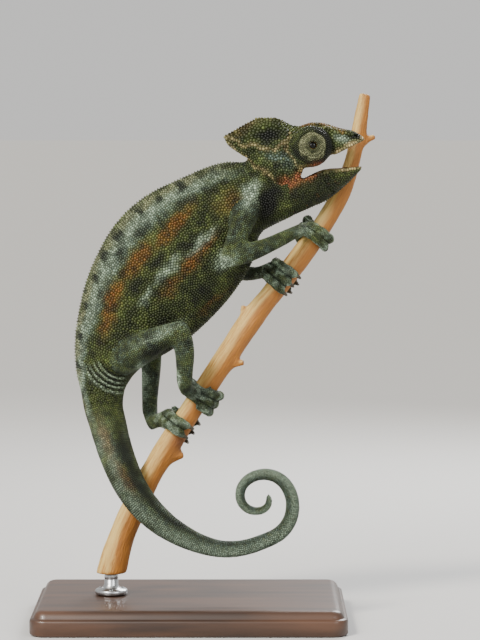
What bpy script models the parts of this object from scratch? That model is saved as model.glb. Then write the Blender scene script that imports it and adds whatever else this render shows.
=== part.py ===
"""A life-size common chameleon climbing a cut branch, on a plain museum stand.

The animal is modelled whole from lofts and tubes, fused into one skin, then parted
with thin cuts into its named pieces: head, lower jaw, neck, trunk, four lengths of
tail, and each limb in three. Tables are in millimetres: +X runs towards the snout,
+Z is up, and the animal's right side faces -Y. The origin is the middle of the
stand's underside.
"""

import math
from itertools import pairwise

import bmesh
import bpy
from mathutils import Matrix, Vector

MM = 0.001

# Stand.
BASE_LENGTH = 112.0
BASE_WIDTH = 78.0
BASE_HEIGHT = 9.0
BASE_CORNER = 10.0
BASE_EDGE = 1.6
ROD_RADIUS = 2.6
COLLAR_RADIUS = 6.0
COLLAR_HEIGHT = 1.8
FIT_GAP = 0.3  # left between any two solids that meet

# Perch: (x, y, z, radius) up the middle of the branch, which bends away behind the snout.
PERCH_FOOT = 17.0
PERCH_LINE = (
    (-29.6, 0.0, 13.0, 5.4),
    (-25.2, 0.0, 29.5, 5.0),
    (-18.7, 0.0, 43.9, 4.6),
    (-11.2, 0.0, 58.0, 4.3),
    (4.7, 0.0, 82.8, 4.2),
    (22.3, 0.0, 109.1, 4.2),
    (37.4, 1.0, 128.2, 4.1),
    (51.5, 5.6, 148.3, 3.7),
    (58.3, 11.4, 163.4, 3.2),
    (61.9, 13.8, 180.7, 2.7),
    (63.4, 14.2, 190.0, 2.5),
)
# Stubs of cut twigs: share of the way up, turn round the branch, length, radius.
PERCH_STUBS = (
    (0.215, 8.0, 4.0, 1.5),
    (0.305, 176.0, 3.2, 1.7),
    (0.437, 160.0, 3.6, 1.3),
    (0.845, 184.0, 4.0, 1.3),
    (0.492, 16.0, 2.4, 1.1),
)

# Backbone, neck to vent: (x, y, z, half depth, half width) of each section.
TRUNK_LINE = (
    (38.0, 0.0, 156.5, 7.0, 6.5),
    (29.5, 0.0, 154.6, 11.0, 8.6),
    (21.6, 0.0, 152.8, 13.8, 9.2),
    (14.6, 0.0, 149.6, 17.2, 9.8),
    (3.9, 0.0, 139.7, 22.7, 11.0),
    (-6.1, 0.0, 130.2, 24.7, 11.8),
    (-14.7, 0.0, 119.3, 23.3, 11.8),
    (-22.0, 0.0, 109.4, 19.9, 10.8),
    (-27.6, 0.0, 100.6, 15.2, 9.4),
    (-30.6, 0.0, 92.6, 11.6, 8.0),
    (-32.0, 0.0, 85.0, 8.7, 6.9),
)
# Tail, vent to the start of the curl, swinging out to pass in front of the perch.
TAIL_LINE = (
    (-31.4, -0.6, 78.6, 7.5, 6.4),
    (-29.6, -2.4, 71.6, 7.0, 6.1),
    (-26.6, -6.6, 61.6, 6.6, 5.8),
    (-21.8, -10.6, 50.8, 6.1, 5.4),
    (-15.6, -12.2, 42.2, 5.6, 4.9),
    (-7.7, -12.2, 35.2, 4.9, 4.3),
    (1.8, -11.8, 29.9, 4.0, 3.6),
    (11.5, -11.2, 27.2, 3.4, 3.1),
    (20.4, -10.8, 27.8, 3.15, 2.9),
)
CURL_CENTRE = (26.2, -10.4, 45.8)
# Radius of the curl's middle line at each quarter turn, from below it round to the tip.
CURL_RADII = (15.6, 10.4, 8.4, 8.3, 4.7, 2.1, 1.5)
CURL_THICK = (3.0, 1.25)  # half thickness where the curl starts and at the tip
CURL_TURN_START = -76.0
CURL_TURN_END = 405.0

# Head, as lines over x: profile, underside, half width, and the crest that runs
# from the nostril over the eye to the casque's point.
HEAD_TOP = (
    (11.7, 175.4),
    (17.3, 178.3),
    (23.0, 181.3),
    (27.0, 182.1),
    (31.5, 181.7),
    (35.5, 179.8),
    (38.3, 178.6),
    (41.5, 179.6),
    (45.5, 180.3),
    (49.5, 179.6),
    (54.0, 178.0),
    (58.5, 177.2),
    (61.8, 175.5),
    (63.1, 174.0),
)
HEAD_UNDER = (
    (11.7, 174.6),
    (13.6, 170.8),
    (17.3, 167.6),
    (21.6, 165.0),
    (26.0, 161.0),
    (31.0, 157.6),
    (39.0, 158.4),
    (42.0, 162.2),
    (45.7, 164.7),
    (49.9, 166.0),
    (54.0, 168.0),
    (57.4, 170.0),
    (60.6, 171.5),
    (63.1, 173.0),
)
HEAD_HALF_WIDTH = (
    (11.7, 0.7),
    (15.0, 3.0),
    (20.0, 6.4),
    (26.0, 9.4),
    (32.0, 10.7),
    (37.0, 10.2),
    (43.0, 8.6),
    (49.0, 7.4),
    (54.0, 5.9),
    (59.0, 4.5),
    (62.0, 2.8),
    (63.1, 1.2),
)
HEAD_CREST_SHARE = (  # height of the side crest, as a share of the way up to the profile
    (11.7, 0.5),
    (20.0, 0.62),
    (28.0, 0.62),
    (36.0, 0.78),
    (43.0, 0.86),
    (50.0, 0.86),
    (58.0, 0.82),
    (63.1, 0.6),
)
HEAD_CREST_WIDTH = (  # half width of the roof at the side crest, as a share of the cheek's
    (11.7, 0.9),
    (20.0, 0.86),
    (28.0, 0.8),
    (36.0, 0.78),
    (43.0, 0.74),
    (50.0, 0.8),
    (58.0, 0.82),
    (63.1, 0.8),
)
HEAD_STATIONS = 34
HEAD_SIDES = 28

JAW_TOP = (
    (27.0, 157.0),
    (36.0, 158.6),
    (41.6, 160.2),
    (45.5, 162.6),
    (49.0, 163.6),
    (54.0, 163.9),
    (59.0, 164.4),
    (62.3, 164.6),
)
JAW_UNDER = (
    (27.0, 141.4),
    (30.5, 142.9),
    (35.0, 145.0),
    (39.5, 147.2),
    (44.3, 149.4),
    (48.4, 151.0),
    (52.4, 153.9),
    (56.5, 157.4),
    (60.2, 161.0),
    (62.3, 163.4),
)
JAW_HALF_WIDTH = (
    (27.0, 8.0),
    (33.0, 9.2),
    (40.0, 8.8),
    (46.0, 7.6),
    (52.0, 6.1),
    (57.0, 4.6),
    (60.6, 3.0),
    (62.3, 1.3),
)
MOUTH_FLOOR = 1.5  # depth of the trough between the lower lips

# Eye turrets: the middle of the base, its axis, and (distance out, radius) up the dome.
EYE_BASE = (42.9, 5.6, 171.0)
EYE_AXIS = (0.12, 0.97, 0.08)
EYE_DOME = (
    (-3.4, 6.6),
    (-1.0, 7.4),
    (1.4, 7.8),
    (3.4, 7.5),
    (5.2, 6.6),
    (6.7, 5.2),
    (7.8, 3.6),
    (8.5, 2.1),
    (8.6, 1.5),
)
EYE_OPENING = 1.35  # radius of the hole between the lids
EYEBALL_OUT = 3.7
EYEBALL_RADIUS = 4.1

# Tongue pad on the mouth's floor: (x, z, half height, half width).
TONGUE_LINE = (
    (45.6, 163.0, 0.5, 1.2),
    (47.0, 163.6, 1.1, 2.2),
    (50.0, 164.1, 1.5, 2.8),
    (53.5, 164.5, 1.5, 2.7),
    (56.5, 164.9, 1.2, 2.0),
    (58.2, 165.0, 0.5, 0.9),
)

# Limbs: joint places (x, y, z) and the flesh radius there, for the right side.
RIGHT_ARM = ((20.6, -4.2, 151.6, 4.6), (19.4, -9.6, 146.6, 5.0), (16.9, -13.4, 139.0, 3.7), (13.6, -16.0, 131.6, 3.3))
RIGHT_FOREARM = ((13.6, -16.0, 131.6, 3.4), (19.8, -15.0, 133.2, 3.7), (28.6, -12.2, 136.4, 3.0), (37.4, -8.2, 140.6, 2.6))
LEFT_ARM = ((20.6, 4.2, 151.6, 4.6), (18.6, 10.0, 146.4, 5.0), (15.2, 13.6, 138.0, 3.7), (12.0, 16.0, 129.6, 3.3))
LEFT_FOREARM = ((12.0, 16.0, 129.6, 3.4), (14.6, 14.2, 126.6, 3.5), (19.4, 10.4, 125.0, 3.0), (25.0, 6.4, 125.2, 2.6))
RIGHT_THIGH = ((-27.0, -2.8, 93.6, 5.0), (-20.4, -9.8, 97.2, 6.0), (-11.4, -14.8, 102.8, 4.8), (-3.0, -17.2, 106.2, 3.6))
RIGHT_SHIN = ((-3.0, -17.2, 106.2, 3.6), (-1.6, -16.8, 99.2, 3.8), (-1.6, -14.8, 91.6, 3.2), (-1.8, -11.8, 84.6, 2.8))
LEFT_THIGH = ((-27.0, 2.8, 93.0, 5.0), (-22.4, 9.2, 95.0, 5.8), (-17.8, 14.2, 97.2, 4.6), (-13.8, 16.0, 98.2, 3.6))
LEFT_SHIN = ((-13.8, 16.0, 98.2, 3.6), (-14.4, 15.0, 89.6, 3.8), (-14.9, 11.8, 79.6, 3.2), (-14.4, 7.6, 70.2, 2.8))

# Feet: height of the grip on the perch, turn of the palm round it (0 at the back of
# the climbing side, 90 at the near face), and the toes in the near and far bundles.
GRIPS = {
    "right_hand": {"height": 138.8, "turn": 44.0, "toes": (2, 3)},
    "left_hand": {"height": 123.4, "turn": -12.0, "toes": (3, 2)},
    "right_foot": {"height": 81.6, "turn": 78.0, "toes": (3, 2)},
    "left_foot": {"height": 70.4, "turn": -14.0, "toes": (2, 3)},
}
PALM_SIZE = (4.1, 4.4, 2.9)  # half sizes along the perch, round it and out from it
PALM_RISE = 1.9
TOE_RADII = (1.95, 1.45)
TOE_PITCH = 2.9
TOE_SPREAD = 1.2
TOE_SWEEP = (20.0, 134.0)
CLAW_ROOT = 9.0  # how far back along the toe each claw is rooted, in degrees
CLAW_SWEEP = 46.0
CLAW_RADII = (1.0, 0.5)

# Cuts that part the skin into named pieces: lines of (x, z) across the whole width,
# and discs of (x, y, z, way it faces, radius) across a limb or the tail.
HEAD_SLITS = (
    ((12.0, 171.2), (15.2, 168.0), (21.0, 164.3), (25.6, 160.6), (30.8, 157.4), (36.0, 157.9), (41.4, 160.3), (45.4, 163.6), (49.0, 164.8)),
    ((35.0, 158.6), (36.6, 150.0), (37.8, 143.0)),
)
NECK_SLIT = ((16.6, 169.6), (24.6, 158.0), (26.6, 148.0), (26.9, 139.6))
SLIT_REACH = 10.2
TAIL_DISCS = (
    (-32.2, -0.4, 82.8, (0.1, -0.05, -1.0), 12.0),
    (-27.9, -4.6, 65.9, (0.36, -0.4, -0.92), 9.6),
    (-7.7, -12.2, 35.2, (0.86, 0.0, -0.52), 8.0),
    (37.0, -10.4, 43.6, (0.12, 0.0, 1.0), 4.6),
)
JOINT_DISC = 1.7  # radius of a cutter across a wrist or ankle, as a share of the flesh there
BEND_PLATE = (-1.8, 4.4, 1.6)  # the same for an elbow's or knee's plate: outward, inward, half width
WRIST_SHARE = 0.84  # how far down the forearm or shin the hand or foot is cut off
# Where the limbs leave the body: a ball round each root inside which they are parted.
FLANK_LIFT = 0.35
ROOT_BALLS = (
    (16.6, -11.6, 145.4, 10.2),
    (16.2, 11.8, 145.0, 10.2),
    (-17.6, -12.6, 98.4, 15.6),
    (-19.4, 12.6, 96.4, 14.6),
)
# Named pieces: a point inside each one, and how many triangles it is kept to.
PIECES = {
    "head": ((34.0, 0.0, 172.0), 1160),
    "lower_jaw": ((46.0, 0.0, 156.0), 400),
    "neck": ((30.5, 0.0, 150.0), 250),
    "trunk": ((-8.0, 0.0, 128.0), 780),
    "right_upper_arm": ((15.4, -14.8, 135.6), 130),
    "left_upper_arm": ((13.8, 15.0, 134.4), 130),
    "right_forearm": ((24.0, -13.8, 134.8), 150),
    "left_forearm": ((17.4, 11.8, 125.6), 140),
    "right_hand": ((41.6, -5.0, 143.6), 650),
    "left_hand": ((28.4, 1.0, 127.0), 650),
    "right_thigh": ((-9.8, -15.4, 103.6), 200),
    "left_thigh": ((-17.0, 14.6, 97.4), 180),
    "right_shin": ((-1.6, -15.6, 95.0), 150),
    "left_shin": ((-14.8, 12.4, 84.0), 150),
    "right_foot": ((0.6, -7.6, 81.4), 660),
    "left_foot": ((-9.0, 1.0, 73.6), 660),
    "tail_base": ((-30.6, -1.8, 74.6), 200),
    "tail_mid": ((-20.0, -11.4, 48.0), 260),
    "tail_sweep": ((14.0, -11.0, 27.4), 320),
    "tail_tip": ((26.0, -10.4, 54.0), 440),
}
HIP_BULGES = ((-23.6, -5.0, 96.4), (-24.0, 5.0, 95.8))
HIP_SIZE = (6.6, 4.9, 7.4)
# Materials: sRGB colour, roughness, metallic.
MATERIALS = {
    "scaly_skin": ("#3f5348", 0.62, 0.0),
    "foot_skin": ("#566a5c", 0.6, 0.0),
    "lid_skin": ("#7d8473", 0.58, 0.0),
    "eye": ("#191410", 0.12, 0.0),
    "tongue": ("#b9705f", 0.35, 0.0),
    "branch_wood": ("#b9854c", 0.72, 0.0),
    "base_wood": ("#5a3a24", 0.42, 0.0),
    "rod_steel": ("#b4b6b8", 0.3, 1.0),
}
MATERIAL_OF = {
    "eye_turret": "lid_skin",
    "eye": "eye",
    "tongue": "tongue",
    "hand": "foot_skin",
    "foot": "foot_skin",
    "branch": "branch_wood",
    "base": "base_wood",
    "rod": "rod_steel",
}
SMOOTH_ANGLE = 40.0

WELD = 0.002  # corners nearer than this after a cut are one

SKIN_VOXEL = 0.36
SKIN_SMOOTH_PASSES = 3
SKIN_TRIANGLES = 64000
PERCH_TRIANGLES = 470


def clear_scene():
    for obj in list(bpy.data.objects):
        bpy.data.objects.remove(obj)


def spline(points, share):
    """A smooth curve through tuples of numbers, at a share of the way along them."""
    place = min(max(share, 0.0), 1.0) * (len(points) - 1)
    i = min(int(place), len(points) - 2)
    t = place - i
    a, b, c, d = (points[min(max(i + k, 0), len(points) - 1)] for k in (-1, 0, 1, 2))
    return tuple(
        0.5 * (2 * q + (r - p) * t + (2 * p - 5 * q + 4 * r - s) * t**2 + (3 * q - p - 3 * r + s) * t**3)
        for p, q, r, s in zip(a, b, c, d, strict=True)
    )


def along(points, count):
    """The curve through points, as count evenly shared samples."""
    return [spline(points, i / (count - 1)) for i in range(count)]


def height_at(line, x):
    """A line of (x, value) pairs read at x, rounded through its points."""
    if x <= line[0][0]:
        return line[0][1]
    for i, (a, b) in enumerate(pairwise(line)):
        if x <= b[0]:
            return spline(line, (i + (x - a[0]) / (b[0] - a[0])) / (len(line) - 1))[1]
    return line[-1][1]


def object_of(name, mesh_editor):
    """A new object that holds an edited mesh, which is freed."""
    bmesh.ops.recalc_face_normals(mesh_editor, faces=mesh_editor.faces)
    mesh = bpy.data.meshes.new(name)
    mesh_editor.to_mesh(mesh)
    mesh_editor.free()
    obj = bpy.data.objects.new(name, mesh)
    bpy.context.scene.collection.objects.link(obj)
    return obj


def loft(name, rings):
    """A closed skin over rings of points: the first ring is drawn round, then extruded."""
    bm = bmesh.new()
    loop = bmesh.ops.create_circle(bm, cap_ends=True, segments=len(rings[0]), radius=MM)["verts"]
    edges = list(bm.edges)
    for vert, place in zip(loop, rings[0], strict=True):
        vert.co = Vector(place) * MM
    for ring in rings[1:]:
        made = bmesh.ops.extrude_edge_only(bm, edges=edges)["geom"]
        fresh = set(made)
        loop = [
            next(e.other_vert(vert) for e in vert.link_edges if e.other_vert(vert) in fresh)
            for vert in loop
        ]
        for vert, place in zip(loop, ring, strict=True):
            vert.co = Vector(place) * MM
        edges = [e for e in made if isinstance(e, bmesh.types.BMEdge) and set(e.verts) <= set(loop)]
    bmesh.ops.edgeloop_fill(bm, edges=edges)
    return object_of(name, bm)


def frames(centres, side=Vector((0, 1, 0))):
    """(tangent, side, up) at each centre, with side kept as near as can be to a given way."""
    found = []
    for i, _ in enumerate(centres):
        ahead = centres[min(i + 1, len(centres) - 1)]
        behind = centres[max(i - 1, 0)]
        tangent = (ahead - behind).normalized()
        across = (side - tangent * side.dot(tangent)).normalized()
        found.append((tangent, across, across.cross(tangent)))
    return found


def tube(name, stations, sides, section=None):
    """A loft over (x, y, z, half depth[, half width]) stations, round or of a given section."""
    centres = [Vector(s[:3]) for s in stations]
    rings = []
    for station, centre, (_, across, up) in zip(stations, centres, frames(centres), strict=True):
        depth, width = station[3], station[-1]
        ring = []
        for k in range(sides):
            turn = math.tau * k / sides
            high, wide = (math.cos(turn), math.sin(turn))
            if section:
                high, wide = section(high, wide)
            ring.append(centre + up * (depth * high) + across * (width * wide))
        rings.append(ring)
    return loft(name, rings)


def keeled(high, wide):
    """A leaf-like body section: a narrow keel along the back, fullest low on the flank."""
    keel = 0.34 * max(high, 0.0) ** 2
    belly = 0.16 * max(-high, 0.0) ** 3
    return high, wide * (1 - keel - belly)


def trunk(grow=0.0):
    stations = [(x, y, z, deep + grow, wide + grow) for x, y, z, deep, wide in along(TRUNK_LINE, 44)]
    return tube("trunk_flesh", stations, 28, keeled)


def curl_stations(count=46):
    """The tail's curl, a spiral read from its radius at each quarter turn."""
    found = []
    for i in range(count):
        share = i / (count - 1)
        turn = CURL_TURN_START + share * (CURL_TURN_END - CURL_TURN_START)
        radius = spline([(r,) for r in CURL_RADII], (turn + 90) / 90 / (len(CURL_RADII) - 1))[0]
        thick = CURL_THICK[0] + (CURL_THICK[1] - CURL_THICK[0]) * share**1.1
        found.append(
            (
                CURL_CENTRE[0] + radius * math.cos(math.radians(turn)),
                CURL_CENTRE[1],
                CURL_CENTRE[2] + radius * math.sin(math.radians(turn)),
                thick,
                thick * 0.94,
            )
        )
    return found


def tail():
    root = (-31.4, 0.0, 89.6, 9.6, 6.2)
    line = (root, *TAIL_LINE, curl_stations()[0])
    stations = along(line, 60) + curl_stations()[1:]
    return tube("tail_flesh", stations, 16)


def head_ring(x):
    """The skull's section at x: roof with a middle crest, side crests, cheeks, lips, palate."""
    top, under = height_at(HEAD_TOP, x), height_at(HEAD_UNDER, x)
    wide = height_at(HEAD_HALF_WIDTH, x)
    crest_up = under + (top - under) * height_at(HEAD_CREST_SHARE, x)
    crest_out = wide * height_at(HEAD_CREST_WIDTH, x)
    mid_up = under + 0.36 * (crest_up - under)
    roof = crest_up + 0.42 * (top - crest_up)
    palate = under + 0.12 * (top - under)
    half = (
        (0.0, top),
        (crest_out * 0.46, roof),
        (crest_out, crest_up),
        (wide * 0.96, 0.5 * (crest_up + mid_up)),
        (wide, mid_up),
        (wide * 0.86, under + 0.06 * (top - under)),
        (wide * 0.55, palate),
        (0.0, palate),
    )
    count = HEAD_SIDES // 2
    right = [spline(half, k / count) for k in range(count + 1)]
    outline = right + [(-y, z) for y, z in reversed(right[1:-1])]
    return [(x, y, z) for y, z in outline]


def jaw_ring(x):
    """The lower jaw's section at x: a trough between the lips over a rounded throat."""
    top, under = height_at(JAW_TOP, x), height_at(JAW_UNDER, x)
    wide = height_at(JAW_HALF_WIDTH, x)
    deep = min(MOUTH_FLOOR, 0.3 * (top - under))
    half = (
        (0.0, top - deep),
        (wide * 0.6, top - deep),
        (wide * 0.82, top),
        (wide, top - 0.12 * (top - under)),
        (wide * 0.98, 0.5 * (top + under)),
        (wide * 0.66, under + 0.12 * (top - under)),
        (0.0, under),
    )
    count = HEAD_SIDES // 2
    right = [spline(half, k / count) for k in range(count + 1)]
    outline = right + [(-y, z) for y, z in reversed(right[1:-1])]
    return [(x, y, z) for y, z in outline]


def head():
    first, last = HEAD_TOP[0][0], HEAD_TOP[-1][0]
    places = [first + (last - first) * i / (HEAD_STATIONS - 1) for i in range(HEAD_STATIONS)]
    return loft("head_flesh", [head_ring(x) for x in places])


def jaw():
    first, last = JAW_TOP[0][0], JAW_TOP[-1][0]
    places = [first + (last - first) * i / (HEAD_STATIONS - 1) for i in range(HEAD_STATIONS)]
    return loft("jaw_flesh", [jaw_ring(x) for x in places])


def eye_axis(side):
    """(base, axis) of the turret on a side, -1 for the right and 1 for the left."""
    base = Vector((EYE_BASE[0], EYE_BASE[1] * side, EYE_BASE[2]))
    axis = Vector((EYE_AXIS[0], EYE_AXIS[1] * side, EYE_AXIS[2])).normalized()
    return base, axis


def turned(name, base, axis, profile, sides=28):
    """A solid of revolution: profile holds (distance along the axis, radius) pairs."""
    across = axis.orthogonal().normalized()
    up = axis.cross(across)
    rings = []
    for out, radius in profile:
        rings.append(
            [
                base
                + axis * out
                + across * (radius * math.cos(math.tau * k / sides))
                + up * (radius * math.sin(math.tau * k / sides))
                for k in range(sides)
            ]
        )
    return loft(name, rings)


def perch_stations(grow=0.0, count=54):
    found = []
    for i in range(count):
        x, y, z, radius = spline(PERCH_LINE, i / (count - 1))
        knobbly = 1 + 0.035 * math.sin(i * 0.83) + 0.025 * math.sin(i * 1.9 + 1)
        found.append((x, y, z, radius * knobbly + grow))
    return found


def perch_place(share):
    """(middle, way up, radius) of the perch at a share of its length."""
    x, y, z, radius = spline(PERCH_LINE, share)
    return Vector((x, y, z)), way_at(PERCH_LINE, share), radius


def perch_share_at(height):
    """The share of the perch's length that reaches a height."""
    low, high = 0.0, 1.0
    for _ in range(40):
        middle = (low + high) / 2
        low, high = (middle, high) if spline(PERCH_LINE, middle)[2] < height else (low, middle)
    return low


def perch():
    """The branch with its knots and twig stubs, fused and cut level at the foot."""
    pieces = [tube("perch_wood", perch_stations(), 16)]
    for share, turn, length, radius in PERCH_STUBS:
        middle, way, wood = perch_place(share)
        level = Vector((0, -1, 0)).cross(way).normalized()
        out = (Matrix.Rotation(math.radians(turn), 3, way) @ level + way * 0.75).normalized()
        root = middle + out * (wood * 0.2)
        reach = wood * 1.05 + length
        profile = ((0.0, radius * 1.9), (wood * 0.9, radius * 1.5), (wood * 1.2, radius * 1.05), (reach, radius))
        pieces.append(turned("stub", root, out, profile, 10))
    wood = fused("perch_branch", pieces, 0.5, 2)
    decimate(wood, PERCH_TRIANGLES)
    low_end = box("foot_cut", (-30, 0, PERCH_FOOT - 20), (40, 40, 40))
    cut(wood, low_end, "DIFFERENCE")
    return wood


def apply_all(obj):
    """Bakes an object's modifiers into its mesh."""
    graph = bpy.context.evaluated_depsgraph_get()
    mesh = bpy.data.meshes.new_from_object(obj.evaluated_get(graph))
    obj.modifiers.clear()
    obj.data = mesh
    return obj


def joined(name, pieces):
    """One object that holds every piece's mesh, and the pieces removed."""
    bm = bmesh.new()
    for piece in pieces:
        bm.from_mesh(piece.data)
        bpy.data.objects.remove(piece)
    return object_of(name, bm)


def fused(name, pieces, voxel, passes):
    """The pieces melted into one smooth skin."""
    whole = joined(name, pieces)
    remesh = whole.modifiers.new("Fuse", "REMESH")
    remesh.mode = "VOXEL"
    remesh.voxel_size = voxel * MM
    smooth = whole.modifiers.new("Soften", "SMOOTH")
    smooth.factor = 0.5
    smooth.iterations = passes
    return apply_all(whole)


def without_flaps(mesh):
    """Deletes the loose slivers that a collapse leaves standing on an edge, and says if the rest is closed."""
    bm = bmesh.new()
    bm.from_mesh(mesh)
    for _ in range(4):
        flaps = [f for f in bm.faces if any(len(e.link_faces) == 1 for e in f.edges) and any(len(e.link_faces) > 2 for e in f.edges)]
        if not flaps:
            break
        bmesh.ops.delete(bm, geom=flaps, context="FACES")
        stray = [e for e in bm.edges if not e.link_faces]
        bmesh.ops.delete(bm, geom=stray, context="EDGES")
        bmesh.ops.delete(bm, geom=[v for v in bm.verts if not v.link_edges], context="VERTS")
    closed = all(edge.is_manifold for edge in bm.edges) and all(vert.is_manifold for vert in bm.verts)
    bm.to_mesh(mesh)
    bm.free()
    return closed


def decimate(obj, triangles):
    """Collapses a mesh to about this many triangles, where that changes its shape least."""
    full = obj.data
    faces = sum(len(p.vertices) - 2 for p in full.polygons)
    for more in range(0, 60, 4):
        obj.data = full.copy()
        reduce = obj.modifiers.new("Thin", "DECIMATE")
        reduce.ratio = (triangles + more) / faces
        reduce.use_collapse_triangulate = True
        apply_all(obj)
        if without_flaps(obj.data):
            break
    return obj


def cut(obj, tool, operation):
    """Applies one exact Boolean and removes its tool."""
    boolean = obj.modifiers.new("Cut", "BOOLEAN")
    boolean.object = tool
    boolean.operation = operation
    boolean.solver = "EXACT"
    apply_all(obj)
    bpy.data.objects.remove(tool)
    return obj


def box(name, centre, size):
    bm = bmesh.new()
    bmesh.ops.create_cube(bm, size=1)
    bmesh.ops.scale(bm, vec=Vector(size) * MM, verts=bm.verts)
    bmesh.ops.translate(bm, vec=Vector(centre) * MM, verts=bm.verts)
    return object_of(name, bm)


def disc(centre, normal, radius):
    """A thin round cutter, as thick as the gap between two solids."""
    normal = Vector(normal).normalized()
    half = FIT_GAP / 2
    return turned("disc", Vector(centre), normal, ((-half, radius), (half, radius)), 24)


def plate(middle, normal, inward, reach):
    """A thin oblong cutter through a bend: reach is (outward, inward, half width)."""
    outer, inner, half_width = reach
    across = normal.cross(inward)
    turn = Matrix((inward, across, normal)).transposed().to_4x4()
    bm = bmesh.new()
    bmesh.ops.create_cube(bm, size=1)
    bmesh.ops.scale(bm, vec=Vector((inner - outer, 2 * half_width, FIT_GAP)) * MM, verts=bm.verts)
    bmesh.ops.transform(bm, matrix=turn, verts=bm.verts)
    centre = Vector(middle) + inward * ((inner + outer) / 2)
    bmesh.ops.translate(bm, vec=centre * MM, verts=bm.verts)
    return object_of("plate", bm)


def slit(line, half_length):
    """A thin curtain cutter along a line of (x, z) points, reaching both ways along y."""
    half = FIT_GAP / 2
    bm = bmesh.new()
    sides = ([], [])
    for i, (x, z) in enumerate(line):
        ahead, behind = line[min(i + 1, len(line) - 1)], line[max(i - 1, 0)]
        way = Vector((ahead[0] - behind[0], 0, ahead[1] - behind[1])).normalized()
        level = Vector((-way.z, 0, way.x)) * half
        for side, verts in zip((-1, 1), sides, strict=True):
            verts.append(bm.verts.new((Vector((x, -half_length, z)) + level * side) * MM))
    face = bm.faces.new(sides[0] + list(reversed(sides[1])))
    made = bmesh.ops.extrude_face_region(bm, geom=[face])["geom"]
    moved = [v for v in made if isinstance(v, bmesh.types.BMVert)]
    bmesh.ops.translate(bm, vec=(0, 2 * half_length * MM, 0), verts=moved)
    return object_of("slit", bm)


class Grip:
    """One foot's hold on the perch: the palm, and toes that sweep round the wood both ways."""

    def __init__(self, name, height, turn, toes):
        self.name = name
        self.toes = toes
        self.middle, self.way, self.wood = perch_place(perch_share_at(height))
        back = Vector((0, -1, 0)).cross(self.way).normalized()
        if back.x > 0:
            back.negate()
        spin = Matrix.Rotation(math.radians(turn), 3, self.way)
        self.out = spin @ back
        if self.out.y * math.sin(math.radians(turn)) > 0:
            self.out = Matrix.Rotation(math.radians(-turn), 3, self.way) @ back
        self.round = self.way.cross(self.out)
        if self.round.y > 0:
            self.round.negate()

    def at(self, angle, shift, lift, side):
        """A point round the perch: side 1 sweeps the near way and -1 the far way."""
        a = math.radians(angle)
        spoke = self.out * math.cos(a) + self.round * (math.sin(a) * side)
        return self.middle + self.way * shift + spoke * (self.wood + lift)

    def palm(self):
        bm = bmesh.new()
        bmesh.ops.create_uvsphere(bm, u_segments=20, v_segments=12, radius=MM)
        bmesh.ops.scale(bm, vec=PALM_SIZE, verts=bm.verts)
        turn = Matrix((self.way, self.round, self.out)).transposed().to_4x4()
        bmesh.ops.transform(bm, matrix=turn, verts=bm.verts)
        bmesh.ops.translate(bm, vec=(self.middle + self.out * (self.wood + PALM_RISE)) * MM, verts=bm.verts)
        return object_of("palm", bm)

    def toe_rows(self):
        """(side, shift at the root, shift at the tip) of each toe."""
        for side, count in zip((1, -1), self.toes, strict=True):
            for k in range(count):
                shift = (k - (count - 1) / 2) * TOE_PITCH
                yield side, shift * 0.94, shift * TOE_SPREAD

    def toe(self, side, root, tip):
        stations = []
        for i in range(12):
            share = i / 11
            radius = TOE_RADII[0] + (TOE_RADII[1] - TOE_RADII[0]) * share
            radius *= 1 + 0.09 * math.cos(share * 3 * math.tau)
            angle = TOE_SWEEP[0] + (TOE_SWEEP[1] - TOE_SWEEP[0]) * share
            place = self.at(angle, root + (tip - root) * share, radius * 0.92, side)
            stations.append((*place, radius))
        return tube("toe", stations, 10)

    def claw(self, side, tip):
        stations = []
        for i in range(4):
            share = i / 3
            radius = CLAW_RADII[0] + (CLAW_RADII[1] - CLAW_RADII[0]) * share
            angle = TOE_SWEEP[1] - CLAW_ROOT + CLAW_SWEEP * share
            lift = 1.35 + 0.45 * math.sin(share * math.pi) - 0.45 * share**2
            stations.append((*self.at(angle, tip, lift, side), radius))
        return tube("claw", stations, 8)


def ball(centre, radius, squash=(1.0, 1.0, 1.0), sides=24):
    bm = bmesh.new()
    bmesh.ops.create_uvsphere(bm, u_segments=sides, v_segments=sides // 2, radius=radius * MM)
    bmesh.ops.scale(bm, vec=squash, verts=bm.verts)
    bmesh.ops.translate(bm, vec=Vector(centre) * MM, verts=bm.verts)
    return object_of("ball", bm)


def chains():
    """(upper limb, lower limb, foot) of each leg."""
    return (
        (RIGHT_ARM, RIGHT_FOREARM, "right_hand"),
        (LEFT_ARM, LEFT_FOREARM, "left_hand"),
        (RIGHT_THIGH, RIGHT_SHIN, "right_foot"),
        (LEFT_THIGH, LEFT_SHIN, "left_foot"),
    )


def limbs():
    pieces = []
    for upper, lower, grip_name in chains():
        grip = GRIP[grip_name]
        heel = (*grip.at(0.0, 0.0, PALM_RISE + 0.4, 1), 2.9)
        pieces.append(tube("upper", along(upper, 18), 18))
        pieces.append(tube("lower", along((*lower, heel), 24), 18))
        for x, y, z, radius in (upper[0], upper[-1], lower[-1]):
            pieces.append(ball((x, y, z), radius * 1.02, sides=16))
        pieces.append(grip.palm())
        pieces += [grip.toe(*row) for row in grip.toe_rows()]
    return pieces + [ball(place, 1.0, HIP_SIZE, 20) for place in HIP_BULGES]


def way_at(line, share):
    """The direction a limb's line takes at a share of its length."""
    ahead, behind = spline(line, share + 0.02), spline(line, share - 0.02)
    return (Vector(ahead[:3]) - Vector(behind[:3])).normalized()


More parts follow.
